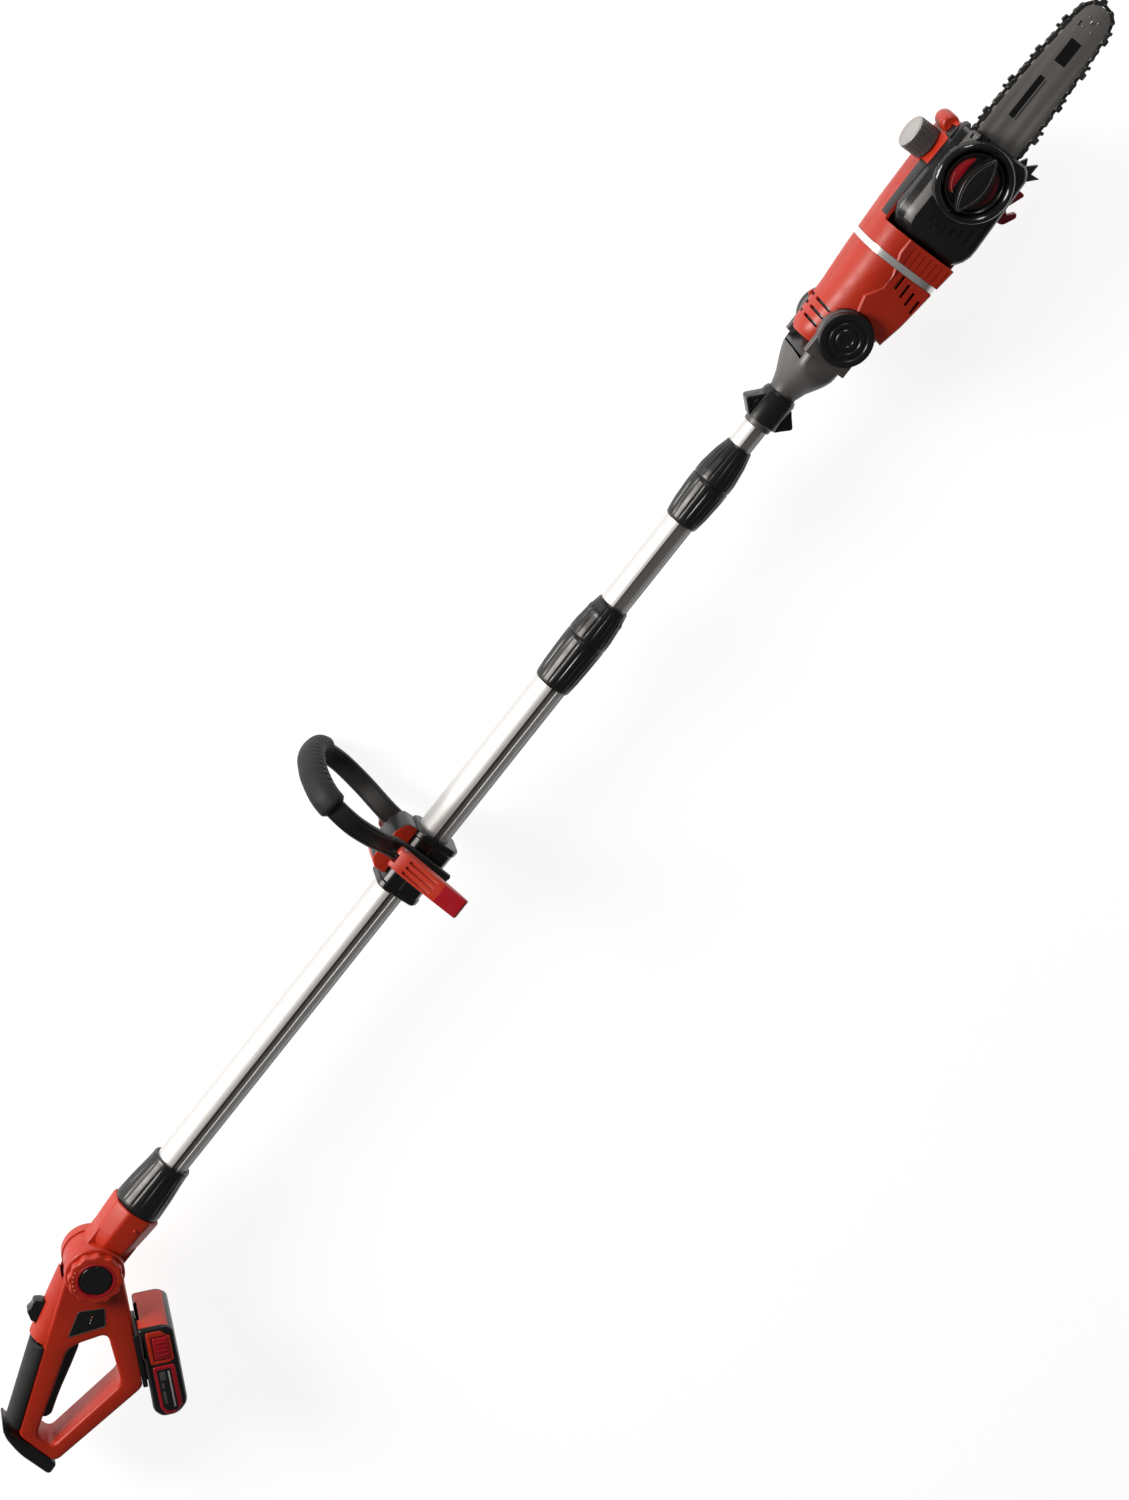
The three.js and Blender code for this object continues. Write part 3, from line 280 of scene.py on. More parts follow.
def finish_piece(obj, body, nodes=(), slot=None, smooth=32):
    """Smooths a piece, hangs it on its body and hides the nodes it stands for."""
    obj.data.polygons.foreach_set("use_smooth", [True] * len(obj.data.polygons))
    obj.data.set_sharp_from_angle(angle=math.radians(smooth))
    if obj.name not in scene.collection.objects:
        scene.collection.objects.link(obj)
    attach(obj, body)
    if nodes:
        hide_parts(*nodes)
        slot = slot or SLOT_OF[nodes[0]]
    return obj


def new_object(name, bm, material):
    """A mesh object, in frame metres, from a bmesh drawn in millimetres."""
    bmesh.ops.recalc_face_normals(bm, faces=bm.faces)
    if bm.calc_volume(signed=True) < 0:
        bmesh.ops.reverse_faces(bm, faces=bm.faces)
    for vertex in bm.verts:
        vertex.co = place(*vertex.co)
    mesh = bpy.data.meshes.new(name)
    bm.to_mesh(mesh)
    bm.free()
    mesh.materials.append(material)
    obj = bpy.data.objects.new(name, mesh)
    return obj


def stitch(bm, rings, closed=False, caps=True):
    """Faces between rings of vertices of equal length, with the ends capped if not closed."""
    count = len(rings[0])
    pairs = list(zip(rings, rings[1:]))
    if closed:
        pairs.append((rings[-1], rings[0]))
    for low, high in pairs:
        for i in range(count):
            j = (i + 1) % count
            bm.faces.new((low[i], low[j], high[j], high[i]))
    if caps and not closed:
        bm.faces.new(reversed(rings[0]))
        bm.faces.new(rings[-1])


def loft(rings, closed=False, caps=True):
    bm = bmesh.new()
    made = [[bm.verts.new(point) for point in ring] for ring in rings]
    stitch(bm, made, closed, caps)
    return bm


def axis_point(along, distance, radius, turn, centre):
    c, s = radius * math.cos(turn), radius * math.sin(turn)
    x, y, z = centre
    if along == "X":
        return (x + distance, y + c, z + s)
    if along == "Y":
        return (x + s, y + distance, z + c)
    return (x + c, y + s, z + distance)


def turned(along, profile, centre=(0, 0, 0), count=96, flute=None, closed=True):
    """A solid of revolution from (distance, radius) pairs; flute(turn, distance) scales the radius."""
    rings = []
    for distance, radius in profile:
        ring = []
        for i in range(count):
            turn = TAU * i / count
            size = radius * (flute(turn, distance, radius) if flute else 1)
            ring.append(axis_point(along, distance, size, turn, centre))
        rings.append(ring)
    return loft(rings, closed=closed, caps=not closed)


def rounded(points, radius, steps=5):
    """A polygon with each corner replaced by an arc; a radius may be one number or one per corner."""
    out = []
    radii = radius if isinstance(radius, (list, tuple)) else [radius] * len(points)
    for i, here in enumerate(points):
        here = Vector(here)
        back = Vector(points[i - 1]) - here
        ahead = Vector(points[(i + 1) % len(points)]) - here
        reach = min(radii[i], back.length / 2.05, ahead.length / 2.05)
        start, end = here + back.normalized() * reach, here + ahead.normalized() * reach
        for k in range(steps + 1):
            t = k / steps
            out.append(tuple(start * (1 - t) ** 2 + here * 2 * t * (1 - t) + end * t ** 2))
    return out


def circle(x, y, radius, count=48):
    return [(x + radius * math.cos(TAU * i / count),
             y + radius * math.sin(TAU * i / count)) for i in range(count)]


def plate(outline, low, high, holes=(), bevel=1.0, steps=3):
    """A slab drawn in X, Y between two heights, with holes and rounded edges, as a bmesh."""
    curve = bpy.data.curves.new("plate", "CURVE")
    curve.dimensions = "2D"
    curve.fill_mode = "BOTH"
    curve.extrude = (high - low) / 2 - bevel
    curve.bevel_depth = bevel
    curve.bevel_resolution = steps - 1
    curve.offset = -bevel
    for points in [outline, *holes]:
        spline = curve.splines.new("POLY")
        spline.points.add(len(points) - 1)
        for target, (x, y) in zip(spline.points, points):
            target.co = (x, y, 0, 1)
        spline.use_cyclic_u = True
    holder = bpy.data.objects.new("plate", curve)
    mesh = bpy.data.meshes.new_from_object(holder)
    bm = bmesh.new()
    bm.from_mesh(mesh)
    bmesh.ops.remove_doubles(bm, verts=bm.verts, dist=0.002)
    bmesh.ops.translate(bm, verts=bm.verts, vec=(0, 0, (low + high) / 2))
    bpy.data.objects.remove(holder)
    bpy.data.curves.remove(curve)
    bpy.data.meshes.remove(mesh)
    return bm


def moved(bm, matrix):
    bm.transform(matrix)
    return bm


def half(bm, above, height=0.15):
    """Keeps the part of a closed bmesh above +height, or below -height, and closes the cut."""
    at = (0, 0, height if above else -height)
    cut = bmesh.ops.bisect_plane(
        bm, geom=[*bm.verts, *bm.edges, *bm.faces], plane_co=at, plane_no=(0, 0, 1),
        clear_inner=above, clear_outer=not above, dist=1e-4)
    edges = [e for e in cut["geom_cut"] if isinstance(e, bmesh.types.BMEdge)]
    bmesh.ops.triangle_fill(bm, edges=edges, use_beauty=True)
    return bm


def boolean(obj, tools, operation="DIFFERENCE"):
    """Cuts an object with bmeshes drawn in millimetres, or joins or intersects it with them."""
    if obj.name not in scene.collection.objects:
        scene.collection.objects.link(obj)
    for tool in tools:
        cutter = new_object("cutter", tool, obj.data.materials[0])
        scene.collection.objects.link(cutter)
        modifier = obj.modifiers.new("cut", "BOOLEAN")
        modifier.operation = operation
        modifier.solver = "MANIFOLD"
        modifier.object = cutter
        graph = bpy.context.evaluated_depsgraph_get()
        mesh = bpy.data.meshes.new_from_object(obj.evaluated_get(graph))
        obj.modifiers.clear()
        old, obj.data = obj.data, mesh
        name = old.name
        bpy.data.meshes.remove(old)
        mesh.name = name
        bpy.data.objects.remove(cutter)
    return obj


def box_mesh(x0, x1, y0, y1, z0, z1):
    return loft([[(x0, y0, z), (x1, y0, z), (x1, y1, z), (x0, y1, z)] for z in (z0, z1)])


def merged(*parts):
    """One bmesh from several."""
    whole = bmesh.new()
    for part in parts:
        mesh = bpy.data.meshes.new("part")
        part.to_mesh(mesh)
        part.free()
        whole.from_mesh(mesh)
        bpy.data.meshes.remove(mesh)
    return whole


def drawn_copy(obj):
    """A bmesh of an object's mesh, back in drawn millimetres."""
    bm = bmesh.new()
    bm.from_mesh(obj.data)
    for vertex in bm.verts:
        vertex.co = (vertex.co - HINGE) / MM
    return bm


def rect(x0, y0, x1, y1):
    return [(x0, y0), (x1, y0), (x1, y1), (x0, y1)]


def rod(along, low, high, radius, centre=(0, 0, 0), count=96):
    """A plain round solid, mostly used to cut a bore."""
    return turned(along, [(low, radius), (high, radius)], centre, count, closed=False)


def piece(name, bm, material, body, nodes=(), slot=None, smooth=32):
    return finish_piece(new_object(name, bm, material), body, nodes, slot, smooth)


def along_angle(x, y, degrees):
    """The matrix that takes a piece drawn along +X to a point, turned by an angle about Z."""
    return Matrix.Translation((x, y, 0)) @ Matrix.Rotation(math.radians(degrees), 4, "Z")


# ------------------------------------------------------------------ pole tubes and their locks

class Tube:
    def __init__(self, radius, bore, key_half, key_floor):
        self.radius, self.bore, self.key_half, self.key_floor = radius, bore, key_half, key_floor

    def ring(self, x, radius, groove=True, count=72):
        """A keyed outline at x: an arc with a flat-floored groove in its +Z side."""
        half = self.key_half
        edge = math.asin(half / radius)
        points = []
        for i in range(count + 1):
            turn = edge + (TAU - 2 * edge) * i / count
            points.append((x, radius * math.sin(turn), radius * math.cos(turn)))
        floor = self.key_floor if groove else radius * math.cos(edge)
        wall = points[-1][2]
        for share, drop in ((-1, 0.15), (-1, 0.9), (-0.94, 1), (0.94, 1), (1, 0.9), (1, 0.15)):
            points.append((x, share * half, wall + (floor - wall) * drop))
        return points


MAIN = Tube(17.5, 15.9, 3.6, 15.6)
MIDDLE = Tube(15.0, 13.6, 5.3, 13.6)
TOP = Tube(12.5, 11.2, 4.4, 11.6)


def paint(obj, material, test):
    """Gives a material to the faces whose middle, in drawn millimetres, passes the test."""
    obj.data.materials.append(material)
    index = len(obj.data.materials) - 1
    for face in obj.data.polygons:
        spot = (face.center - HINGE) / MM
        if test(spot, face.normal):
            face.material_index = index
    return obj


def build_tube(node, tube, body, lines):
    start, end = drawn_x(node), drawn_x(node, 1)
    inner = Tube(tube.bore, 0, tube.key_half + 1.1, tube.key_floor - 1.5)
    rings = [tube.ring(start + 0.5, tube.radius - 0.5, groove=False)]
    rings += [tube.ring(x, tube.radius) for x in (start + 1.2, end - 1.2)]
    rings.append(tube.ring(end - 0.5, tube.radius - 0.5, groove=False))
    rings += [inner.ring(x, tube.bore - 0.4) for x in (end, start)]
    obj = new_object(node + "_drawn", loft(rings, closed=True), TUBE)

    def shaded_groove_floor(spot, normal):
        return abs(spot.y) < tube.key_half * 0.97 and spot.z > tube.key_floor - 0.3 and normal.z > 0.9

    # The groove floor takes the dark grey as painted shade and painted reflection.
    paint(obj, GROOVE_SHADE, shaded_groove_floor)
    finish_piece(obj, body, [node], smooth=25)
    # Thin dark strips along each tube at the given turns: painted shade of a fine groove line.
    for turn in lines:
        y, z = tube.radius * math.sin(turn), tube.radius * math.cos(turn)
        strip = loft([[(x, y + 0.45 * math.cos(t) , z + 0.12 * math.sin(t)) for t in (
            0, TAU / 4, TAU / 2, 3 * TAU / 4)]
                      for x in (start + 3, end - 3)])
        piece(f"{node}_line_{round(math.degrees(turn)) % 360}", strip, GROOVE_SHADE, body, slot=SLOT_OF[node])


def build_tubes():
    build_tube("main_tube", MAIN, "pole", [math.radians(-47)])
    build_tube("middle_tube", MIDDLE, "middle_tube", [math.radians(-47)])
    build_tube("top_tube", TOP, "neck", [math.radians(-47)])


GROUPS = 6


def grip_grooves(rear, front, depth=0.9):
    """Long tapering grooves, in groups of three, that fade out before the ends of a sleeve."""
    def factor(turn, distance, radius):
        share = min(1.0, max(0.0, (distance - rear) / (front - rear)))
        fade = max(0.0, math.sin(math.pi * share)) ** 0.6
        phase = (turn * GROUPS / TAU + 0.25) % 1.0
        cut = 0.0
        for middle_of in (0.2, 0.5, 0.8):
            away = abs(phase - middle_of) / 0.075
            if away < 1:
                cut = max(cut, 0.5 + 0.5 * math.cos(math.pi * away))
        return 1 - depth / radius * cut * fade
    return factor


def sleeve(name, profile, rear, front, material, body, node, depth=0.9):
    """A fluted sleeve from its outer profile and the bore rows that close it."""
    dense = []
    for (x0, r0), (x1, r1) in zip(profile, profile[1:]):
        steps = max(1, round(abs(x1 - x0) / 2.5))
        dense += [(x0 + (x1 - x0) * k / steps, r0 + (r1 - r0) * k / steps) for k in range(steps)]
    dense.append(profile[-1])
    bm = turned("X", dense, count=288, flute=grip_grooves(rear, front, depth))
    return piece(name, bm, material, body, [node], smooth=40)


def build_locks():
    rows = (
        ("lock_one", MAIN, MIDDLE, 775, 832, 876, 21.6, 19.2, 17.2, "pole", "lock_one_nut"),
        ("lock_two", MIDDLE, TOP, 981, 1030, 1075, 20.6, 17.2, 14.6, "middle_tube", "lock_two_nut"),
    )
    for name, held, sliding, rear, split, front, outer, rear_r, front_r, body, nut_body in rows:
        bore = held.radius + 0.3
        neck = held.radius + 1.9
        edge = split - 0.3
        profile = [
            (rear, bore), (rear, rear_r - 1.3), (rear + 0.8, rear_r - 0.4), (rear + 2.6, rear_r + 0.3),
            (rear + 16, rear_r + 0.62 * (outer - rear_r)), (rear + 32, outer - 0.35), (edge - 10, outer),
            (edge - 1.2, outer), (edge, outer - 1), (edge, neck), (front - 14, neck), (front - 14, bore),
        ]
        sleeve(name + "_sleeve", profile + profile[:1], rear + 4, edge - 3, BLACK, body, name + "_body")
        wide = held.radius + 2.3
        narrow = sliding.radius + 0.5
        profile = [
            (split, wide), (split, outer - 1), (split + 0.8, outer - 0.2), (split + 3, outer),
            (split + 11, outer - 0.2),
            (front - 16, front_r + 0.55 * (outer - front_r)), (front - 3, front_r),
            (front - 0.8, front_r - 0.4),
            (front, front_r - 1.3), (front, narrow), (front - 4, narrow), (front - 13, wide),
        ]
        sleeve(name + "_grip", profile + profile[:1], split + 4, front - 3, BLACK, nut_body, name + "_nut")


# ------------------------------------------------------------------ rear end of the pole

def build_socket():
    nut = [
        (78, 21.8), (78, 24.8), (78.8, 25.5), (82, 26), (104, 24.6), (126, 22.2), (134, 21.6),
        (138.8, 21.5), (140, 20.9),
        (140, 18.6), (137, 18.1), (127, 18.2), (127, 21.8),
    ]
    sleeve("socket_nut_grip", nut + nut[:1], 83, 134, BLACK, "socket_nut", "socket_nut", 0.7)

    def ring(x, half, chamfer, round_by=2.6):
        h, c = half, half - chamfer
        points = [(c, h), (-c, h), (-h, c), (-h, -c), (-c, -h), (c, -h), (h, -c), (h, c)]
        return [(x, y, z) for y, z in rounded(points, round_by, 4)]

    barrel = loft([
        ring(26, 19, 9), ring(30, 22, 11), ring(36, 23.6, 12.5), ring(46, 24.6, 13), ring(
            60, 25.4, 13.5), ring(74, 26, 13.5),
        ring(76.6, 25.8, 13.5), ring(77.7, 25, 13),
    ])
    obj = new_object("pole_socket_barrel", barrel, RED)
    tongue = plate(circle(0, 0, 30, 72), -13.3, 13.3, bevel=1)
    web = box_mesh(0, 42, -23, 23, -13.3, 13.3)
    thread = []
    pitch = 3.0
    x = 74
    while x < 126:
        thread += [(x, 20.4), (x + pitch * 0.3, 21.4), (x + pitch * 0.6, 21.4), (x + pitch * 0.9, 20.4)]
        x += pitch
    thread = [(74, 15)] + thread + [(126, 15)]
    boolean(obj, [tongue, web, turned("X", thread, closed=False)], "UNION")
    boolean(obj, [rod("X", 43.7, 150, 17.8),
                  rod("X", -60, 43.8, 9),
                  rod("Z", -30, 30, 6.3, count=48)])
    finish_piece(obj, "pole", ["pole_socket"], smooth=30)
    lug = turned("Z", [(25.2, 2.2), (26.5, 2.2), (27, 1.6)], (63, -5, 0), 24, closed=False)
    piece("pole_socket_lug", lug, RED, "pole", slot="red_plastic")


# ------------------------------------------------------------------ rear handle

HANDLE_HALF = 21
GRIP_ANGLE = 200.4
GRIP_START = (-101, -9.5)
OUTLINE = [(-14, 24), (-96, -6), (-203, -47), (-211, -100), (-86, -125), (17, -22)]
OPENING = [(-54, -55), (-79, -36.5), (-92, -31), (-194, -64), (-196, -86), (-96, -103)]
WINDOW = [(-47, -13), (-79, -22), (-47, -48), (-29, -34)]


def half_oval(start, angle, length, half, depth, inner=None, ends=0.0, lift=0.0, count=40, sink=0.0):
    """A half-oval bar whose flat side lies on a line through start; ends rounds its two ends."""
    direction = Vector((math.cos(math.radians(angle)), math.sin(math.radians(angle)), 0))
    out = Vector((direction.y, -direction.x, 0))
    origin = Vector((*start, 0))
    stations = [(0, 1)]
    if ends:
        stations = [(0, 1 - ends), (0.6, 1 - ends * 0.45), (1.6, 1 - ends * 0.12), (3, 1)]
    stations += [(length - d, s) for d, s in reversed(stations)]
    rings = []
    for distance, share in stations:
        ring = []
        for i in range(count + 1):
            turn = math.pi * i / count
            reach = (depth + lift) * math.sin(turn) * share
            ring.append((reach, half * math.cos(turn) * (1 - (1 - share) * 0.5)))
        if inner:
            for i in range(count + 1):
                turn = math.pi * (1 - i / count)
                ring.append(((depth - inner) * math.sin(turn), (half - inner) * math.cos(turn)))
        elif sink:
            ring += [(-sink, -half), (-sink, half)]
        rings.append([tuple(origin + direction * distance + out * y + Vector((0, 0, z))) for y, z in ring])
    return loft(rings)


def build_handle():
    outline = rounded(OUTLINE, [9, 5, 9, 9, 10, 9], 7)
    body = plate(outline, -HANDLE_HALF, HANDLE_HALF, [rounded(OPENING, [9, 6, 6, 8, 7, 9], 7)], bevel=3.2,
                 steps=4)
    obj = new_object("handle_shell", body, RED)
    back = math.degrees(math.atan2(-20, -82))
    palm = half_oval((-8, 9), back, 93.4, HANDLE_HALF - 0.2, 21, ends=0.12, sink=8)
    knuckle = plate(circle(0, 0, 31, 96), -27, 27, bevel=2.2)
    boss = turned("Z", [(-30, 12), (-30, 25), (-28.6, 26.4), (-26, 27.5), (-20, 27.5)], count=96,
                  closed=False)
    boolean(obj, [palm, knuckle, boss], "UNION")
    trigger_room = moved(box_mesh(0, 101, -18.5, 20, -8.7, 8.7), along_angle(-84, -28.5, GRIP_ANGLE - 2))
    lock_room = moved(box_mesh(-14.5, 14.5, -14, 16, -7.1, 7.1), along_angle(-74, 10, 193))
    grip_room = half_oval((GRIP_START[0] + 1, GRIP_START[1] + 1.6), GRIP_ANGLE, 120, 30, 34)
    window_room = plate(rounded([(x, y) for x, y in WINDOW], 3), HANDLE_HALF - 1.6, HANDLE_HALF + 4,
                        bevel=0.2)
    hollow = rod("Z", -13.7, 13.7, 34, count=96)
    web_room = box_mesh(0, 60, -60, 60, -13.7, 13.7)
    pin_room = rod("Z", -26, 40, 6.3, count=48)
    head_room = rod("Z", -34.5, -25.9, 10.3, count=48)
    dock_room = moved(box_mesh(82, 150, 24.6, 36, -25.4, 25.4), along_angle(0, 0, 225.5))
    boolean(obj, [hollow, web_room, pin_room, head_room, trigger_room, lock_room, window_room, dock_room])
    for side, above in (("right", True), ("left", False)):
        bm = half(drawn_copy(obj), above)
        piece("handle_half_" + side, bm, RED, "handle", ["handle_shell_" + side], smooth=33)
    bpy.data.objects.remove(obj)

    # Soft grip with a raised lip along each edge, the cap at its foot and the window.
    start = Vector(GRIP_START)
    grip = half_oval(start + Vector((-0.6, 1.4)), GRIP_ANGLE, 102.5, HANDLE_HALF + 0.2, 12, inner=3.4,
                     ends=0.14, lift=0.3)
    piece("palm_grip", grip, RUBBER, "handle", ["soft_grip"], smooth=40)
    direction = Vector((math.cos(math.radians(GRIP_ANGLE)), math.sin(math.radians(GRIP_ANGLE))))
    out = Vector((direction.y, -direction.x))
    for side in (1, -1):
        rings = []
        for distance in (16, 17.5, 20, 88, 92, 94):
            size = 0.2 if distance in (16, 94) else 0.9
            centre = start + direction * distance + out * 5.4
            rings.append([(centre.x + out.x * 1.5 * size * math.cos(t),
                           centre.y + out.y * 1.5 * size * math.cos(t),
                           side * (HANDLE_HALF - 2 + 0.9 * size * math.sin(t))) for t in
                          [TAU * k / 16 for k in range(16)]])
        piece(f"palm_grip_rib_{'right' if side > 0 else 'left'}", loft(rings), RUBBER, "handle",
              slot="black_rubber")

    foot = [(-204, -28), (-213, -38), (-222, -62), (-227, -104), (-212, -103), (-207, -76)]
    cap = plate(rounded(foot, [4, 7, 10, 6, 4, 3], 6), -HANDLE_HALF - 0.2, HANDLE_HALF + 0.2, bevel=3,
                steps=4)
    obj = new_object("foot_cap_moulded", cap, BLACK)
    boolean(obj, [moved(box_mesh(-3, 3, -30, 30, -1.2, 1.2), along_angle(-227, -82, 173.5))])
    finish_piece(obj, "handle", ["foot_cap"], smooth=35)

    panel = plate(rounded(inset(WINDOW, 1.1), 2.4), HANDLE_HALF - 1.4, HANDLE_HALF + 0.1, bevel=0.3)
    piece("window_glass", panel, GLOSS_BLACK, "handle", ["window_panel"])
    frame_ring = plate(rounded(inset(WINDOW, 0.15), 3), HANDLE_HALF - 1.4, HANDLE_HALF + 0.35,
                       [rounded(inset(WINDOW, 1.0), 2.4)], bevel=0.2)
    piece("window_frame", frame_ring, GREY, "handle", slot="grey_plastic")
    for step in range(3):
        dot = turned("Z", [(HANDLE_HALF - 0.2, 0.9), (HANDLE_HALF + 0.25, 0.9), (HANDLE_HALF + 0.4, 0.5)],
                     (-45 - 3.4 * step, -29 - 1.2 * step, 0), 20, closed=False)
        piece(f"window_light_{step}", dot, (LIT, PALE_GREY_AND_HIGHLIGHT, PALE_GREY_AND_HIGHLIGHT)[step], "handle", slot="grey_plastic")

    # Trigger blade, and the lock-off button.
    blade = [(0, -6), (44, -7.4), (90, -6), (97, -4), (98.5, 4), (93, 9.5), (64, 9.5), (30, 12), (6, 13),
             (0, 10)]
    trigger = plate(rounded(blade, [3, 14, 5, 3, 3, 4, 16, 16, 4, 3], 6), -8, 8, bevel=2.6, steps=4)
    piece("trigger_blade", moved(trigger, along_angle(-85, -29.5, GRIP_ANGLE - 2)), SATIN_BLACK, "trigger",
          ["trigger"], smooth=35)
    button = [(-13, 5), (13, 5), (13, -9), (9, -12), (4, -17), (-4, -14), (-10, -15), (-13, -8)]
    thumb = plate(rounded(button, [1, 1, 2.5, 2.5, 2.2, 4, 2.2, 2], 4), -6.5, 6.5, bevel=1.4, steps=3)
    thumb = moved(thumb, along_angle(-74, 10, 193))
    piece("lock_off_thumb", thumb, SATIN_BLACK, "lock_off_button", ["lock_off_button"])

    # Tilt knob: a scalloped red ring with index dots around a black push button.
    edge = [(27.8 + 0.9 * math.cos(TAU * i / 20)) for i in range(240)]
    ring = [(r * math.cos(TAU * i / 240), r * math.sin(TAU * i / 240)) for i, r in enumerate(edge)]
    knob = plate(ring, 27.3, 37.6, [circle(0, 0, 17.4, 96)], bevel=2.2, steps=4)
    piece("tilt_knob_ring", knob, RED, "handle", ["tilt_knob"], smooth=35)
    rim = turned("Z", [(36.8, 17.4), (36.8, 20.5), (37.6, 20.3), (38.1, 19.6), (38.1, 18.6), (37.6, 17.6)],
                 count=96)
    piece("tilt_knob_lip", rim, DEEP_RED, "handle", slot="red_plastic")
    for i in range(5):
        turn = math.radians(98 + 13 * i)
        x, y = 23.6 * math.cos(turn), 23.6 * math.sin(turn)
        dot = turned("Z", [(37, 1.0), (38, 1.0), (38.3, 0.6)], (x, y, 0), 20, closed=False)
        piece(f"tilt_knob_dot_{i}", dot, LIT, "handle", slot="red_plastic")
    dome = [(31, 0.01), (31, 17), (36.4, 17), (37.4, 16.6), (38, 15.8), (38.2, 14), (37.8, 9), (37.5, 4),
            (37.4, 0.01)]
    piece("tilt_button_dished", turned("Z", dome, count=96, closed=False), GLOSS_BLACK, "tilt_button",
          ["tilt_button"])


def inset(points, distance):
    """Moves every side of a clockwise or anticlockwise polygon inwards."""
    area = sum(x0 * y1 - x1 * y0 for (x0, y0), (x1, y1) in zip(points, points[1:] + points[:1]))
    side = 1 if area > 0 else -1
    out = []
    for i, (x, y) in enumerate(points):
        into = (Vector((x, y)) - Vector(points[i - 1])).normalized()
        away = (Vector(points[(i + 1) % len(points)]) - Vector((x, y))).normalized()
        left = Vector((-into.y - away.y, into.x + away.x)).normalized()
        stretch = distance / max(0.35, left.dot(Vector((-into.y, into.x))))
        out.append((x + left.x * stretch * side, y + left.y * stretch * side))
    return out


# ------------------------------------------------------------------ battery

LEG = along_angle(0, 0, 225.5)


def leg_plate(name, outline, low, high, material, body, nodes=(), holes=(), bevel=1.0, steps=3, slot=None,
              round_by=2.0):
    bm = plate(rounded(outline, round_by, 5), low, high, [rounded(hole, 1.2, 4) for hole in holes], bevel,
               steps)
    return piece(name, moved(bm, LEG), material, body, nodes, slot)


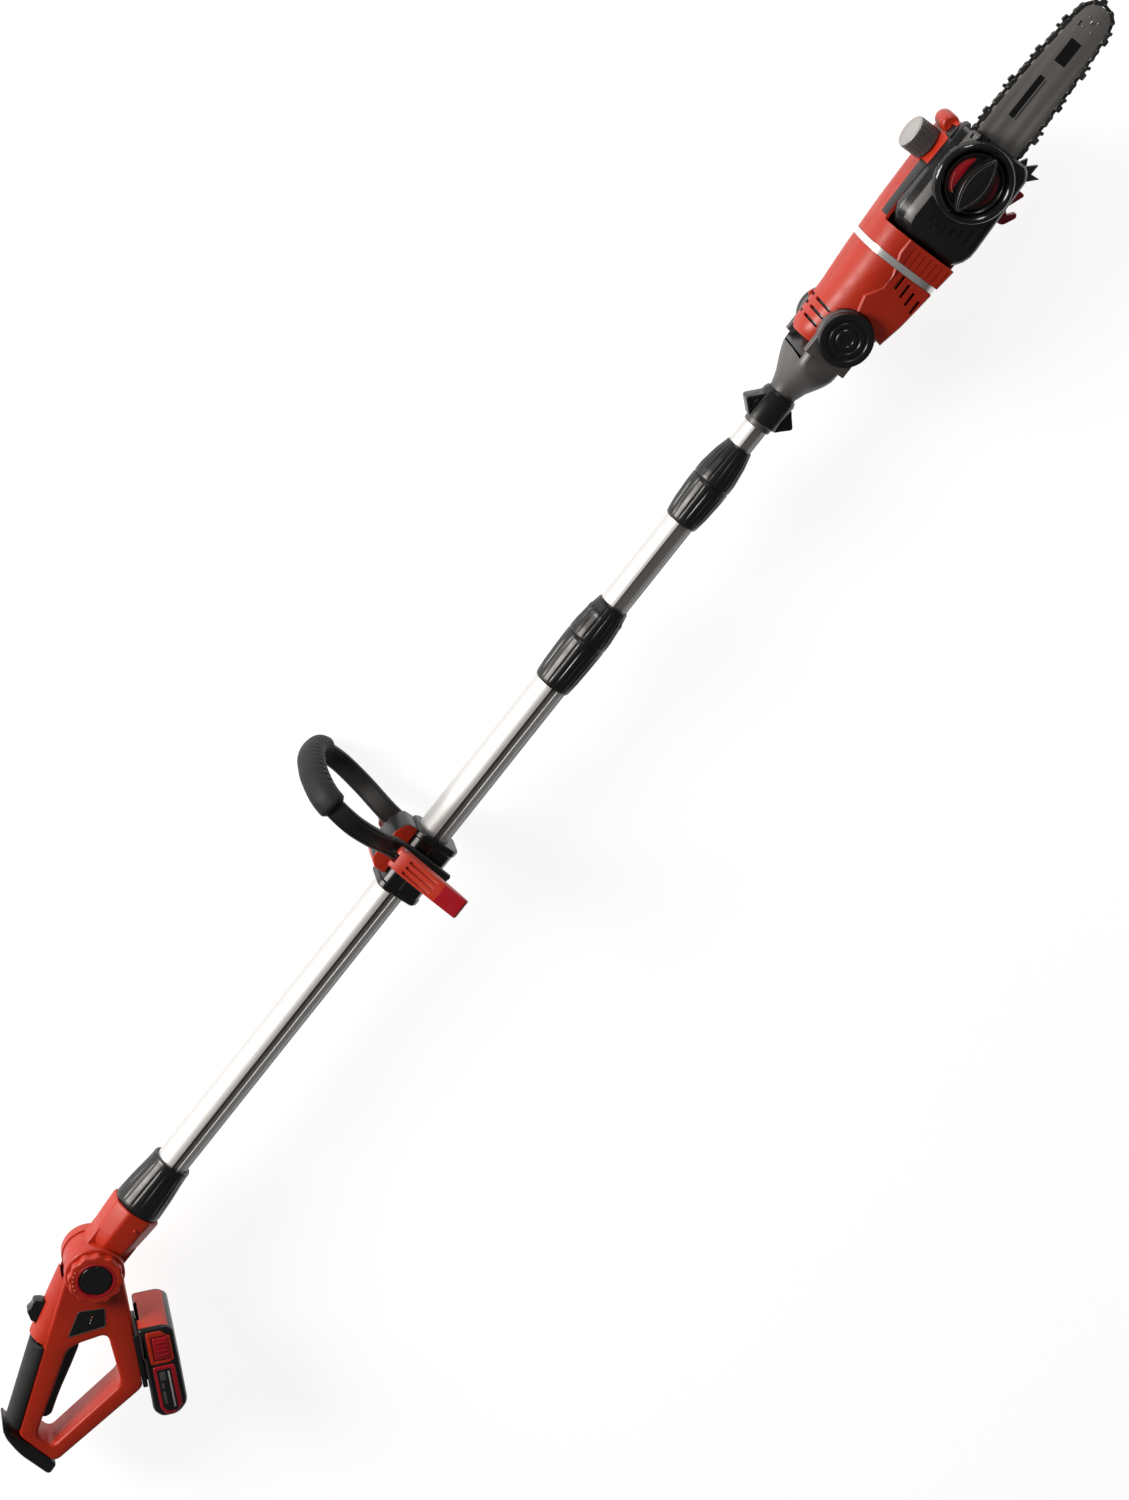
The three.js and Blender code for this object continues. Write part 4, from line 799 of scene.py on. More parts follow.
def build_battery():
    near, far, inner, outer, deep = 70, 181, 30.5, 67.5, 38
    rail = plate(rounded(rect(84, 25, 148, 30.2), 1, 3), -25, 25, bevel=0.6)
    obj = new_object("battery_rail", moved(rail, LEG), BLACK)
    tongue = moved(box_mesh(88, 145, 27, 34, -16, 16), LEG)
    boolean(obj, [tongue], "UNION")
    finish_piece(obj, "handle", ["battery_dock"])

    # The case: a lower tray and a lid drawn as two lofts that meet at a stepped seam.
    tray = [(near + 3, inner + 15), (near + 3, inner + 2), (far - 9, inner), (far, inner + 8),
            (far, outer - 12),
            (far - 12, outer), (near + 34, outer), (near + 34, inner + 15)]
    side = plate(rounded(tray, [3, 3, 5, 5, 7, 7, 3, 3], 5), -deep, deep, bevel=5, steps=5)
    obj = new_object("battery_tray", moved(side, LEG), BLACK)
    lid = [(near, inner), (near + 38, inner), (near + 38, outer - 0.2), (near + 7, outer - 0.2),
           (near, outer - 9)]
    hood = plate(rounded(lid, [4, 1, 1, 5, 5], 5), -deep, deep, bevel=4.4, steps=5)
    boolean(obj, [moved(hood, LEG)], "UNION")
    rooms = [box_mesh(near - 5, 150, inner - 4, inner + 4, -17, 17)]
    for low, high in ((deep - 8, deep + 4), (-deep - 4, 8 - deep)):
        rooms.append(box_mesh(near + 12, near + 40, inner + 12, inner + 30, low, high))
    for x in (near + 47, near + 57, near + 67, near + 77, near + 87):
        rooms.append(box_mesh(x, x + 3.4, outer - 1.3, outer + 4, -22, 22))
    boolean(obj, [moved(room, LEG) for room in rooms])
    finish_piece(obj, "battery", ["battery_case"], smooth=35)
    end = Vector((math.cos(math.radians(45.5)), math.sin(math.radians(45.5)), 0))
    paint(obj, RED, lambda spot, normal: normal.dot(end) > 0.8 and abs(spot.z) < deep - 4)

    for name, low, high in (("right", deep - 4.6, deep + 1.6), ("left", -deep - 1.6, 4.6 - deep)):
        face = rect(near + 12.4, inner + 12.4, near + 39.6, inner + 29.6)
        leg_plate(f"battery_latch_{name}", face, low, high, DEEP_RED, f"battery_button_{name}",
                  [f"battery_button_{name}"], bevel=1.4)
        for i in range(4):
            sign = 1 if name == "right" else -1
            x = near + 18.5 + 5 * i
            top = sign * (deep + 1.6)
            bar = rect(x - 0.9, inner + 15.5, x + 0.9, inner + 26.5)
            leg_plate(f"battery_latch_{name}_rib_{i}", bar, min(top - sign, top + 0.6 * sign),
                      max(top - sign, top + 0.6 * sign),
                      DEEP_RED, f"battery_button_{name}", bevel=0.3, slot="red_plastic", round_by=0.8)

    # Red hood around the release buttons and a long red panel with a plain printed label.
    for sign, word in SIDES:
        span = lambda a, b: (min(sign * a, sign * b), max(sign * a, sign * b))
        hood = [(near + 4.5, inner + 7), (near + 44.5, inner + 7), (near + 44.5, outer - 8),
                (near + 11, outer - 8),
                (near + 4.5, outer - 14)]
        hole = rect(near + 11.4, inner + 11.4, near + 40.6, inner + 30.6)
        leg_plate(f"battery_hood_{word}", hood, *span(deep - 3, deep + 0.9), RED, "battery", holes=[hole],
                  bevel=0.9,
                  slot="red_plastic", round_by=3)
        panel = [(near + 47.5, inner + 8), (far - 12, inner + 8), (far - 4, inner + 13),
                 (far - 4, outer - 14),
                 (far - 13, outer - 6), (near + 47.5, outer - 6)]
        leg_plate(f"battery_panel_{word}", panel, *span(deep - 2, deep + 1.1), DEEP_RED, "battery",
                  bevel=0.9,
                  slot="red_plastic", round_by=3)
        label = [(near + 51, inner + 11), (far - 14, inner + 11), (far - 8, inner + 15),
                 (far - 8, outer - 11),
                 (near + 51, outer - 11)]
        leg_plate(f"battery_label_{word}", label, *span(deep, deep + 1.35), GLOSS_BLACK, "battery",
                  bevel=0.12,
                  slot="black_plastic", round_by=1.5)
        stripe = rect(near + 54, outer - 14.6, far - 12, outer - 12.8)
        leg_plate(f"battery_stripe_{word}", stripe, *span(deep + 1, deep + 1.5), PALE_GREY_AND_HIGHLIGHT, "battery",
                  bevel=0.08,
                  slot="grey_plastic", round_by=0.3)
        for i, (start, length, width) in enumerate(((54, 11, 6), (68, 7, 3), (78, 16, 3))):
            y = inner + 13.5
            mark = rect(near + start, y, near + start + length, y + width)
            leg_plate(f"battery_mark_{word}_{i}", mark, *span(deep + 1, deep + 1.5), GREY, "battery",
                      bevel=0.08,
                      slot="grey_plastic", round_by=0.8)

    # Two rounded red rails along the outer face.
    for sign, word in SIDES:
        rail = rect(near + 50, sign * 26, far - 16, sign * 33)
        bm = plate(rounded(rail, 2.4, 4), outer - 1.5, outer, bevel=0.6)
        piece(f"battery_edge_{word}", moved(bm, LEG @ UPRIGHT), RED, "battery", slot="red_plastic")


# ------------------------------------------------------------------ loop handle

CLAMP_X = 547
BOLT = (555, 31, 0)
LEVER_PIVOT = (CLAMP_X + 8, 31, 49)
LOOP_LEAN = math.radians(7)
LOOP_TWIST = math.radians(5)
LOOP_HALF = [(-30, 27.5), (0, 29.5), (38, 37), (72, 55), (104, 63), (134, 52), (146, 24), (148, 0)]


def loop_path(count=220):
    """Evenly spaced (point, tangent, outward) rows on the loop's middle line, in its own plane."""
    knots = [Vector(p) for p in LOOP_HALF] + [Vector((y, -z)) for y, z in reversed(LOOP_HALF[:-1])]
    knots = [knots[0] * 2 - knots[1]] + knots + [knots[-1] * 2 - knots[-2]]
    dense = []
    for a, b, c, d in zip(knots, knots[1:], knots[2:], knots[3:]):
        times = [0]
        for p, q in ((a, b), (b, c), (c, d)):
            times.append(times[-1] + max(1e-6, (q - p).length) ** 0.5)
        t0, t1, t2, t3 = times
        for k in range(40):
            t = t1 + (t2 - t1) * k / 40
            ab = a * ((t1 - t) / (t1 - t0)) + b * ((t - t0) / (t1 - t0))
            bc = b * ((t2 - t) / (t2 - t1)) + c * ((t - t1) / (t2 - t1))
            cd = c * ((t3 - t) / (t3 - t2)) + d * ((t - t2) / (t3 - t2))
            abc = ab * ((t2 - t) / (t2 - t0)) + bc * ((t - t0) / (t2 - t0))
            bcd = bc * ((t3 - t) / (t3 - t1)) + cd * ((t - t1) / (t3 - t1))
            dense.append(abc * ((t2 - t) / (t2 - t1)) + bcd * ((t - t1) / (t2 - t1)))
    dense.append(knots[-2])
    reach = [0]
    for p, q in zip(dense, dense[1:]):
        reach.append(reach[-1] + (q - p).length)
    rows = []
    j = 0
    for k in range(count + 1):
        goal = reach[-1] * k / count
        while j < len(dense) - 2 and reach[j + 1] < goal:
            j += 1
        share = (goal - reach[j]) / (reach[j + 1] - reach[j])
        point = dense[j].lerp(dense[j + 1], share)
        tangent = (dense[j + 1] - dense[j]).normalized()
        rows.append((point, Vector((tangent.y, -tangent.x))))
    for k, (point, _out) in enumerate(rows):
        before, after = rows[max(0, k - 1)][0], rows[min(count, k + 1)][0]
        tangent = (after - before).normalized()
        rows[k] = (point, Vector((tangent.y, -tangent.x)))
    return rows


def lean(x, y, z):
    c, s = math.cos(LOOP_LEAN), math.sin(LOOP_LEAN)
    forward, aside = x * c + y * s, y * c - x * s
    c, s = math.cos(LOOP_TWIST), math.sin(LOOP_TWIST)
    return (CLAMP_X + 10 + forward * c - z * s, aside, forward * s + z * c)


def loop_sweep(start, end, section_at, count=220):
    """Sweeps a section of (x, outward) points along part of the loop."""
    rows = loop_path(count)
    first, last = round(start * count), round(end * count)
    rings = []
    for k in range(first, last + 1):
        point, out = rows[k]
        ring = []
        for x, lift in section_at(k / count, (k - first) / (last - first)):
            ring.append(lean(x, point.x + out.x * lift, point.y + out.y * lift))
        rings.append(ring)
    return loft(rings)


def oval(half_x, half_y, power=2.6, count=40):
    points = []
    for i in range(count):
        c, s = math.cos(TAU * i / count), math.sin(TAU * i / count)
        points.append((math.copysign(abs(c) ** (2 / power), c) * half_x,
                       math.copysign(abs(s) ** (2 / power), s) * half_y))
    return points


def build_loop():
    def strap(at, _share):
        lift = 0.5 + 0.5 * math.cos(min(1, abs(at - 0.5) / 0.2) * math.pi)
        return [(x, y * (1 - 0.18 * (1 - lift) * (abs(x) < 7.5))) for x, y in oval(11, 4.6, 3.4)]

    obj = new_object("loop_strap", loop_sweep(0, 1, strap), STRAP)
    bolt_hole = rod("Z", -60, 60, 4.5, BOLT, 32)
    boolean(obj, [bolt_hole])
    finish_piece(obj, "loop", ["loop_handle"], smooth=38)

    def sleeve_section(_at, share):
        body = min(1.0, share / 0.03, (1 - share) / 0.03)
        size = 0.82 + 0.18 * math.sqrt(max(0.0, body * (2 - body)))
        ribbed = 0.12 < share < 0.88
        groove = max(0.0, math.cos(share * math.pi * 2 * 17)) ** 6 if ribbed else 0
        outer = []
        for x, y in oval(15, 11, 2.3):
            cut = 1 - 0.1 * groove * (1 if y > -4 else 0.3)
            outer.append((x * size * cut, y * size * cut))
        return outer

    grip = loop_sweep(0.355, 0.645, sleeve_section, 880)
    piece("loop_grip_sleeve", grip, RUBBER, "loop", ["loop_grip"], smooth=50)
    for k, at in enumerate((0.3525, 0.6445)):
        collar = loop_sweep(at, at + 0.003, lambda _a, _s: oval(12.6, 6.4, 2.6), 880)
        piece(f"loop_grip_collar_{k}", collar, BLACK, "loop", slot="black_rubber")

    # Clamp halves around the tube, with flanges, a parting line and a raised rim at each end.
    x0, x1 = CLAMP_X - 36, CLAMP_X + 36
    outline = [(-29, -13), (-22, -23), (15, -24), (21, -18), (21, 18), (15, 24), (-22, 23), (-29, 13)]
    def ring(x, scale):
        return [(x, -4 + (y + 4) * scale, z * scale) for y, z in rounded(outline, 3, 4)]
    stations = [(x0, 0.93), (x0 + 0.7, 0.97), (x0 + 2, 1), (x0 + 7, 1), (x0 + 8.5, 0.955), (x0 + 22, 0.945),
                (x1 - 22, 0.945), (x1 - 8.5, 0.955), (x1 - 7, 1), (x1 - 2, 1), (x1 - 0.7, 0.97), (x1, 0.93)]
    for node, low, high in (("clamp_upper", 0.5, 60), ("clamp_lower", -60, -0.5)):
        obj = new_object(node + "_block", loft([ring(x, s) for x, s in stations]), BLACK)
        boolean(obj, [box_mesh(400, 700, low, high, -60, 60)], "INTERSECT")
        boolean(obj, [rod("X", 400, 700, 17.85, count=96)])
        finish_piece(obj, "loop", [node], smooth=30)
    seam = ((-0.45, 17.9), (0.45, 17.9), (0.45, 22.6), (-0.45, 22.6))
    for sign, word in SIDES:
        gasket = loft([[(x, y, sign * z) for y, z in seam] for x in (x0 + 1.5, x1 - 1.5)])
        piece(f"clamp_seam_{word}", gasket, GREY, "loop", slot="grey_plastic")

    saddle = [(CLAMP_X + 4 + x, y) for x, y in ((-27, 20.9), (-27, 34), (-18, 43), (18, 40), (30, 34),
                                                (30, 20.9))]
    obj = new_object("saddle_block", plate(rounded(saddle, [2, 4, 5, 5, 4, 2], 5), -17, 17, bevel=1.8,
                                           steps=4), RED)
    grooves = [box_mesh(CLAMP_X + 4 - 40, CLAMP_X + 4 - 20, 24 + 4.5 * k, 25.4 + 4.5 * k, -13,
                        13) for k in range(3)]
    boolean(obj, [rod("Z", -60, 60, 4.4, BOLT, 32), *grooves])
    finish_piece(obj, "loop", ["clamp_saddle"], smooth=35)
    paint(obj, BLACK, lambda spot, normal: abs(spot.z) < 16.4 and spot.x > CLAMP_X - 14)

    head = turned("Z", [(-49, 0.01), (-49, 6.4), (-48.2, 7.4), (-43.8, 7.5), (-43, 7.2), (-43, 4), (44, 4),
                        (44, 0.01)],
                  BOLT, 48, closed=False)
    obj = new_object("loop_bolt", head, STEEL)
    boolean(obj, [rod("Z", -50, -45.5, 3.2, BOLT, 6)])
    finish_piece(obj, "loop", ["clamp_bolt"], smooth=35)
    for name, low, high in (("near", 35.8, 37.4), ("far", -37.4, -35.8)):
        washer = turned("Z", [(low, 4.1), (low, 8.2), (low + 0.3, 8.6), (high - 0.3, 8.6), (high, 8.2),
                              (high, 4.1)],
                        BOLT, 48)
        piece(f"loop_washer_{name}", washer, STEEL, "loop", slot="steel")

    # Cam lever: drawn along +X with its pivot at the origin, then turned into place.
    profile = [(-7, -6), (-7, 7), (4, 9), (40, 8.4), (78, 5), (79, -1), (60, -4), (8, -6)]
    lever = plate(rounded(profile, [4, 4, 4, 30, 2, 2, 8, 3], 6), -11, 11, bevel=1.8, steps=4)
    obj = new_object("cam_lever", lever, RED)
    cuts = [box_mesh(-10, 7, -12, 2, -5, 5), box_mesh(-10, -2, -12, 12, -5, 5)]
    for k in (-1, 0, 1):
        slot = rect(10, 6.4 * k - 1.7, 44, 6.4 * k + 1.7)
        bm = plate(rounded(slot, 1.5, 4), 6.6, 12, bevel=0.3)
        cuts.append(moved(bm, UPRIGHT))
    boolean(obj, cuts)
    basis = Matrix(((0, 0, -1, 0), (-1, 0, 0, 0), (0, 1, 0, 0), (0, 0, 0, 1)))
    swing = Matrix.Rotation(-math.radians(27), 4, "X")
    turn = Matrix.Translation(LEVER_PIVOT) @ swing @ basis
    for vertex in obj.data.vertices:
        vertex.co = place(*(turn @ ((vertex.co - HINGE) / MM)))
    finish_piece(obj, "clamp_lever", ["clamp_lever"], smooth=35)
    tip = (turn.to_3x3() @ Vector((1, 0, 0))).normalized()
    pivot = Vector(LEVER_PIVOT)
    paint(obj, DEEP_RED, lambda spot, normal: (spot - pivot).dot(tip) > 50)
    for end in (1, -1):
        rivet = turned("X", [(end * 10.6, 0.01), (end * 10.6, 2.6), (end * 11.4, 2.4), (end * 11.7, 0.01)],
                       LEVER_PIVOT, 24, closed=False)
        piece(f"cam_lever_pin_{'front' if end > 0 else 'rear'}", rivet, STEEL, "clamp_lever", slot="steel")


# ------------------------------------------------------------------ neck and fork

PIVOT_X = 1222


def squircle(x, y0, y1, z0, z1, power=2.8, count=64):
    ring = []
    for i in range(count):
        c, s = math.cos(TAU * i / count), math.sin(TAU * i / count)
        y = (y0 + y1) / 2 + math.copysign(abs(c) ** (2 / power), c) * (y1 - y0) / 2
        z = (z0 + z1) / 2 + math.copysign(abs(s) ** (2 / power), s) * (z1 - z0) / 2
        ring.append((x, y, z))
    return ring


def build_neck():
    stem = [(1100, 13.4), (1100.6, 14.2), (1102, 14.6), (1158, 14.6)]
    obj = new_object("fork_casting", turned("X", stem, count=96, closed=False), GREY)
    shoulder = loft([
        squircle(1142, -14.4, 14.4, -14.4, 14.4, 2), squircle(1154, -17.2, 17.2, -22, 22, 2.2),
        squircle(1166, -21, 21, -33, 33, 2.6), squircle(1173, -22.8, 22.8, -36.8, 36.8, 3),
        squircle(1180, -24, 24, -38, 38, 3.6), squircle(1198, -24.4, 24.4, -38, 38, 4.4),
    ])
    disc = turned("Z", [(-38, 26.6), (-37, 27.5), (37, 27.5), (38, 26.6)], (PIVOT_X, 0, 0), 96,
                  closed=False)
    bridge = plate(rounded(rect(1190, -24.2, PIVOT_X, 24.2), 0.5, 2), -38, 38, bevel=1)
    boolean(obj, [shoulder, disc, bridge], "UNION")
    room = rod("Z", -30.3, 30.3, 46.5, (PIVOT_X, 0, 0), 128)
    beyond = box_mesh(PIVOT_X - 10, 1300, -80, 80, -30.3, 30.3)
    bores = [rod("X", 1090, 1126, 12.8), rod("X", 1110, 1200, 6),
             rod("Z", -60, 60, 5.3, (PIVOT_X, 0, 0), 32)]
    ribs_out = []
    for sign in (1, -1):
        pocket = plate(rounded([(1170, -13), (1191, -17), (1191, 17), (1170, 13)], 4, 4),
                       min(sign * 36.4, sign * 42), max(sign * 36.4, sign * 42), bevel=0.4)
        ribs_out.append(pocket)
    boolean(obj, [room, beyond, *bores, *ribs_out])
    finish_piece(obj, "neck", ["neck_fork"], smooth=30)

    # A drum on the head closes the gap between the fork's cheeks at any tilt.
    drum = [(PIVOT_X + r * math.cos(math.radians(180 + a)), r * math.sin(math.radians(180 + a)))
            for r, turns in ((44.4, range(-30, 31, 3)), (20, range(30, -31, -10))) for a in turns]
    piece("pivot_drum", plate(drum, -29.4, 29.4, bevel=1), SATIN_BLACK, "head", slot="black_plastic",
          smooth=40)

    for sign, word in SIDES:
        rows = [(38.3, 0.01), (38.3, 27.2), (39, 27.5), (43.6, 27.5), (45, 26.9), (45.5, 25.6),
                (45.5, 21.4), (45, 20.4),
                (43.9, 19.9), (43.9, 17.6), (44.6, 17), (44.6, 13.6), (43.9, 13), (43.9, 10.8),
                (44.5, 10.2), (44.5, 6.4),
                (43.9, 5.8), (43.9, 0.01)]
        cap = turned("Z", [(sign * z, r) for z, r in rows], (PIVOT_X, 0, 0), 128, closed=False)
        piece(f"pivot_disc_{word}", cap, SATIN_BLACK, "neck", [f"pivot_cap_{word}"], smooth=40)

    sleeve_rows = [(1106, 14.9), (1106, 17.2), (1106.8, 18), (1136, 18), (1138, 17.2), (1140, 16.4),
                   (1140, 14.9)]
    obj = new_object("slide_collar", turned("X", sleeve_rows, count=96), SATIN_BLACK)
    wings = []
    for sign in (1, -1):
        wing = [(1105.5, sign * 16), (1117, sign * 29), (1119.5, sign * 29), (1133, sign * 16)]
        wings.append(plate(rounded(wing, [1, 1.6, 1.6, 1], 4), -8, 8, bevel=1.1))
    boolean(obj, wings, "UNION")
    pockets = []
    for sign in (1, -1):
        for low, high in ((6.2, 12), (-12, -6.2)):
            pocket = [(1111, sign * 19.2), (1117.8, sign * 26), (1118.8, sign * 26), (1126, sign * 19.2)]
            pockets.append(plate(rounded(pocket, 1, 3), low, high, bevel=0.2))
    boolean(obj, [*pockets, rod("X", 1100, 1150, 14.9, count=96)])
    finish_piece(obj, "tilt_lock_slider", ["tilt_lock_slider"], smooth=35)


# ------------------------------------------------------------------ head housing

HEAD_SECTIONS = (
    (1198, -8, 32, 20, 2.2), (1200.5, -16, 34, 23.5, 2.3), (1206, -28, 35.5, 27, 2.6),
    (1222, -35, 35.7, 31, 2.65),
    (1250, -43, 36, 36, 2.7), (1270, -47, 37.3, 38.7, 2.75), (1290, -50, 38.5, 41, 2.8),
    (1345, -51, 41, 42, 3),
    (1385, -49, 41.6, 41.2, 3.2), (1425, -46, 42, 40, 3.4), (1437, -43, 41.4, 37.8, 3.4),
    (1443, -40.4, 40.8, 35.8, 3.4),
    (1446, -37.5, 39.6, 33.6, 3.4),
)
COVER_REAR, COVER_FRONT, COVER_FLOOR, COVER_FACE = 1334, 1452, 21.7, 44
KNOB_X = 1411


def head_at(x):
    """The head's y0, y1, half depth and squareness at a station along the pole."""
    for low, high in zip(HEAD_SECTIONS, HEAD_SECTIONS[1:]):
        if x <= high[0]:
            share = (x - low[0]) / (high[0] - low[0])
            return [a + (b - a) * share for a, b in zip(low[1:], high[1:])]
    return list(HEAD_SECTIONS[-1][1:])


def head_loft(inward=0.0, x0=1198, x1=1446):
    rings = []
    stations = sorted({x0, x1, *[row[0] for row in HEAD_SECTIONS if x0 < row[0] < x1]})
    for x in stations:
        y0, y1, z, power = head_at(x)
        rings.append(squircle(x, y0 + inward, y1 - inward, inward - z, z - inward, power, 120))
    return loft(rings)


def slit(x0, y0, x1, y1, width, low, high):
    """A rounded slot between two points in X, Y, between two heights."""
    along = (Vector((x1, y1)) - Vector((x0, y0))).normalized()
    across = Vector((-along.y, along.x)) * width / 2
    corners = [Vector((x0, y0)) - across, Vector((x1, y1)) - across, Vector((x1, y1)) + across,
               Vector((x0, y0)) + across]
    return plate(rounded([tuple(c) for c in corners], width * 0.4, 3), low, high, bevel=0.05, steps=1)


def build_head():
    obj = new_object("head_housing", head_loft(), RED)
    # A raised armour plate with a stepped edge stands on the +Z flank behind the cover.
    flank = [(1236, -34), (1262, -38), (1336, -44), (1336, 13), (1318, 13), (1296, 4), (1282, 4),
             (1266, 13), (1244, 6)]
    ridge = []
    for low, lift in ((20, 0), (41, 0), (42.4, 1.6)):
        ridge.append([(x, y, low - (0 if low == 20 else max(0.0, (1300 - x) * 0.093))) for x,
                      y in inset(flank, lift)])
    armour = loft(ridge)
    nose = turned("Z", [(-12, 7.5), (-11, 8.7), (-9, 9.2), (10, 9.2), (12.6, 8.4), (14, 6.8)],
                  (1440, 41, 0), 48, closed=False)
    boolean(obj, [armour, nose], "UNION")
    boolean(obj, [head_loft(2.6, 1201, 1443)])
    cheek = lambda low, high: rod("Z", low, high, 28.7, (PIVOT_X, 0, 0), 96)
    cuts = [cheek(29.9, 60), cheek(-60, -29.9), box_mesh(1150, PIVOT_X, -28.7, 28.7, 29.9, 60),
            box_mesh(1150, PIVOT_X, -28.7, 28.7, -60, -29.9),
            rod("Z", -60, 60, 5.3, (PIVOT_X, 0, 0), 32),
            box_mesh(COVER_REAR - 0.3, 1500, -90, 39.3, COVER_FLOOR, 90),
            rod("Y", 20, 80, 11, (1412, 0, 0), 48)]
    # Air vents: four short slots on each flank and three at the rear shoulder.
    for k in range(4):
        y = -36 + 9.5 * k
        x = 1277 + 3.5 * k
        for low, high in ((30, 60), (-60, -30)):
            cuts.append(slit(x, y, x + 15, y + 0.6, 3.6, low, high))
    for k in range(3):
        x = 1214 + 9.5 * k
        for low, high in ((4, 60), (-60, -4)):
            cuts.append(slit(x, 24, x + 3.5, 50, 3, low, high))
    # Fine ribs between the vents and the band.
    for k in range(7):
        y = -40 + 7 * k
        cuts.append(slit(1256 + 2 * k, y, 1330, y + 1.0, 0.9, 40.6, 60))
    band_room = boolean(new_object("band_room", box_mesh(1303.2, 1310.8, -90, 90, -90, 90), RED),
                        [head_loft(0.9)])
    cuts.append(drawn_copy(band_room))
    bpy.data.objects.remove(band_room)
    boolean(obj, cuts)
    for side, above in (("right", True), ("left", False)):
        bm = half(drawn_copy(obj), above)
        shell = new_object("head_half_" + side, bm, RED)
        finish_piece(shell, "head", ["head_shell_" + side], smooth=28)
    bpy.data.objects.remove(obj)
    # A black sheet behind the vents, as painted shade for the shaded inside of the housing.
    vent_shade_sheet = boolean(new_object("head_vent_shade_sheet", head_loft(3.1, 1203, 1332), BLACK),
                     [head_loft(4.4, 1205, 1330)])
    cuts = [rod("Z", -60, 60, 9, (PIVOT_X, 0, 0), 48), cheek(28.6, 60), cheek(-60, -28.6),
            box_mesh(1150, PIVOT_X, -30, 30, 28.6, 60), box_mesh(1150, PIVOT_X, -30, 30, -60, -28.6),
            box_mesh(1180, 1222, -9, 9, -9, 9)]
    boolean(vent_shade_sheet, cuts)
    finish_piece(vent_shade_sheet, "head", slot="black_plastic")

    band = boolean(new_object("band_ring", head_loft(-0.25, 1303.6, 1310.4), SILVER),
                   [head_loft(1.05, 1290, 1330)])
    finish_piece(band, "head", ["silver_band"], smooth=30)
    for x, sides in ((1232, (30,)), (1376, (30, -36)), (1430, (30, -36))):
        for y in sides:
            z = head_at(x)[2]
            spot = (x, y * 0.86, 0)
            well = turned("Z", [(-z - 0.4, 2.2), (-z - 0.4, 4.2), (-z + 2.6, 4.2), (-z + 2.6, 2.2)], spot,
                          32)
            piece(f"screw_boss_{x}_{abs(y)}", well, RED, "head", slot="red_plastic")
            screw = turned("Z", [(-z + 0.4, 0.01), (-z + 0.4, 2), (-z + 2, 2.1), (-z + 2, 0.01)], spot, 24,
                           closed=False)
            piece(f"screw_head_{x}_{abs(y)}", screw, STEEL, "head", slot="steel")


def cover_ring(x, y0, y1, top, inward=0.0):
    """A cover section: open below, with a wide bevel along its +Y edge and a round one along -Y."""
    y0, y1, top = y0 + inward, y1 - inward, top - inward
    floor = COVER_FLOOR + 0.3
    points = [(y0, floor), (y0, top - 9)]
    for k in range(1, 7):
        turn = math.pi / 2 * k / 6
        points.append((y0 + 9 * (1 - math.cos(turn)), top - 9 + 9 * math.sin(turn)))
    points += [(y1 - 16, top), (y1 - 14.5, top - 0.6), (y1 - 8.5, top - 5.4), (y1 - 7.2, top - 7),
               (y1 - 1.2, top - 10),
               (y1 - 0.3, top - 11), (y1, top - 12.4), (y1, floor)]
    return [(x, y, z) for y, z in points]


def cover_body(inward=0.0):
    rows = (
        (1334, -38, 22, 34), (1336, -41.5, 27, 36.5), (1340, -45, 32, 39), (1346, -48, 36.5, 41.6),
        (1354, -50, 39, 43.4),
        (1362, -50, 39, 44), (1440, -46, 39, 44), (1446, -43.5, 38, 43), (1450, -41, 36, 41),
        (1452, -39, 34, 38),
    )
    first, last = rows[0][0] + inward, rows[-1][0] - inward
    return loft([cover_ring(min(max(x, first), last) + k * 1e-3, y0, y1, top, inward)
                 for k, (x, y0, y1, top) in enumerate(rows)])


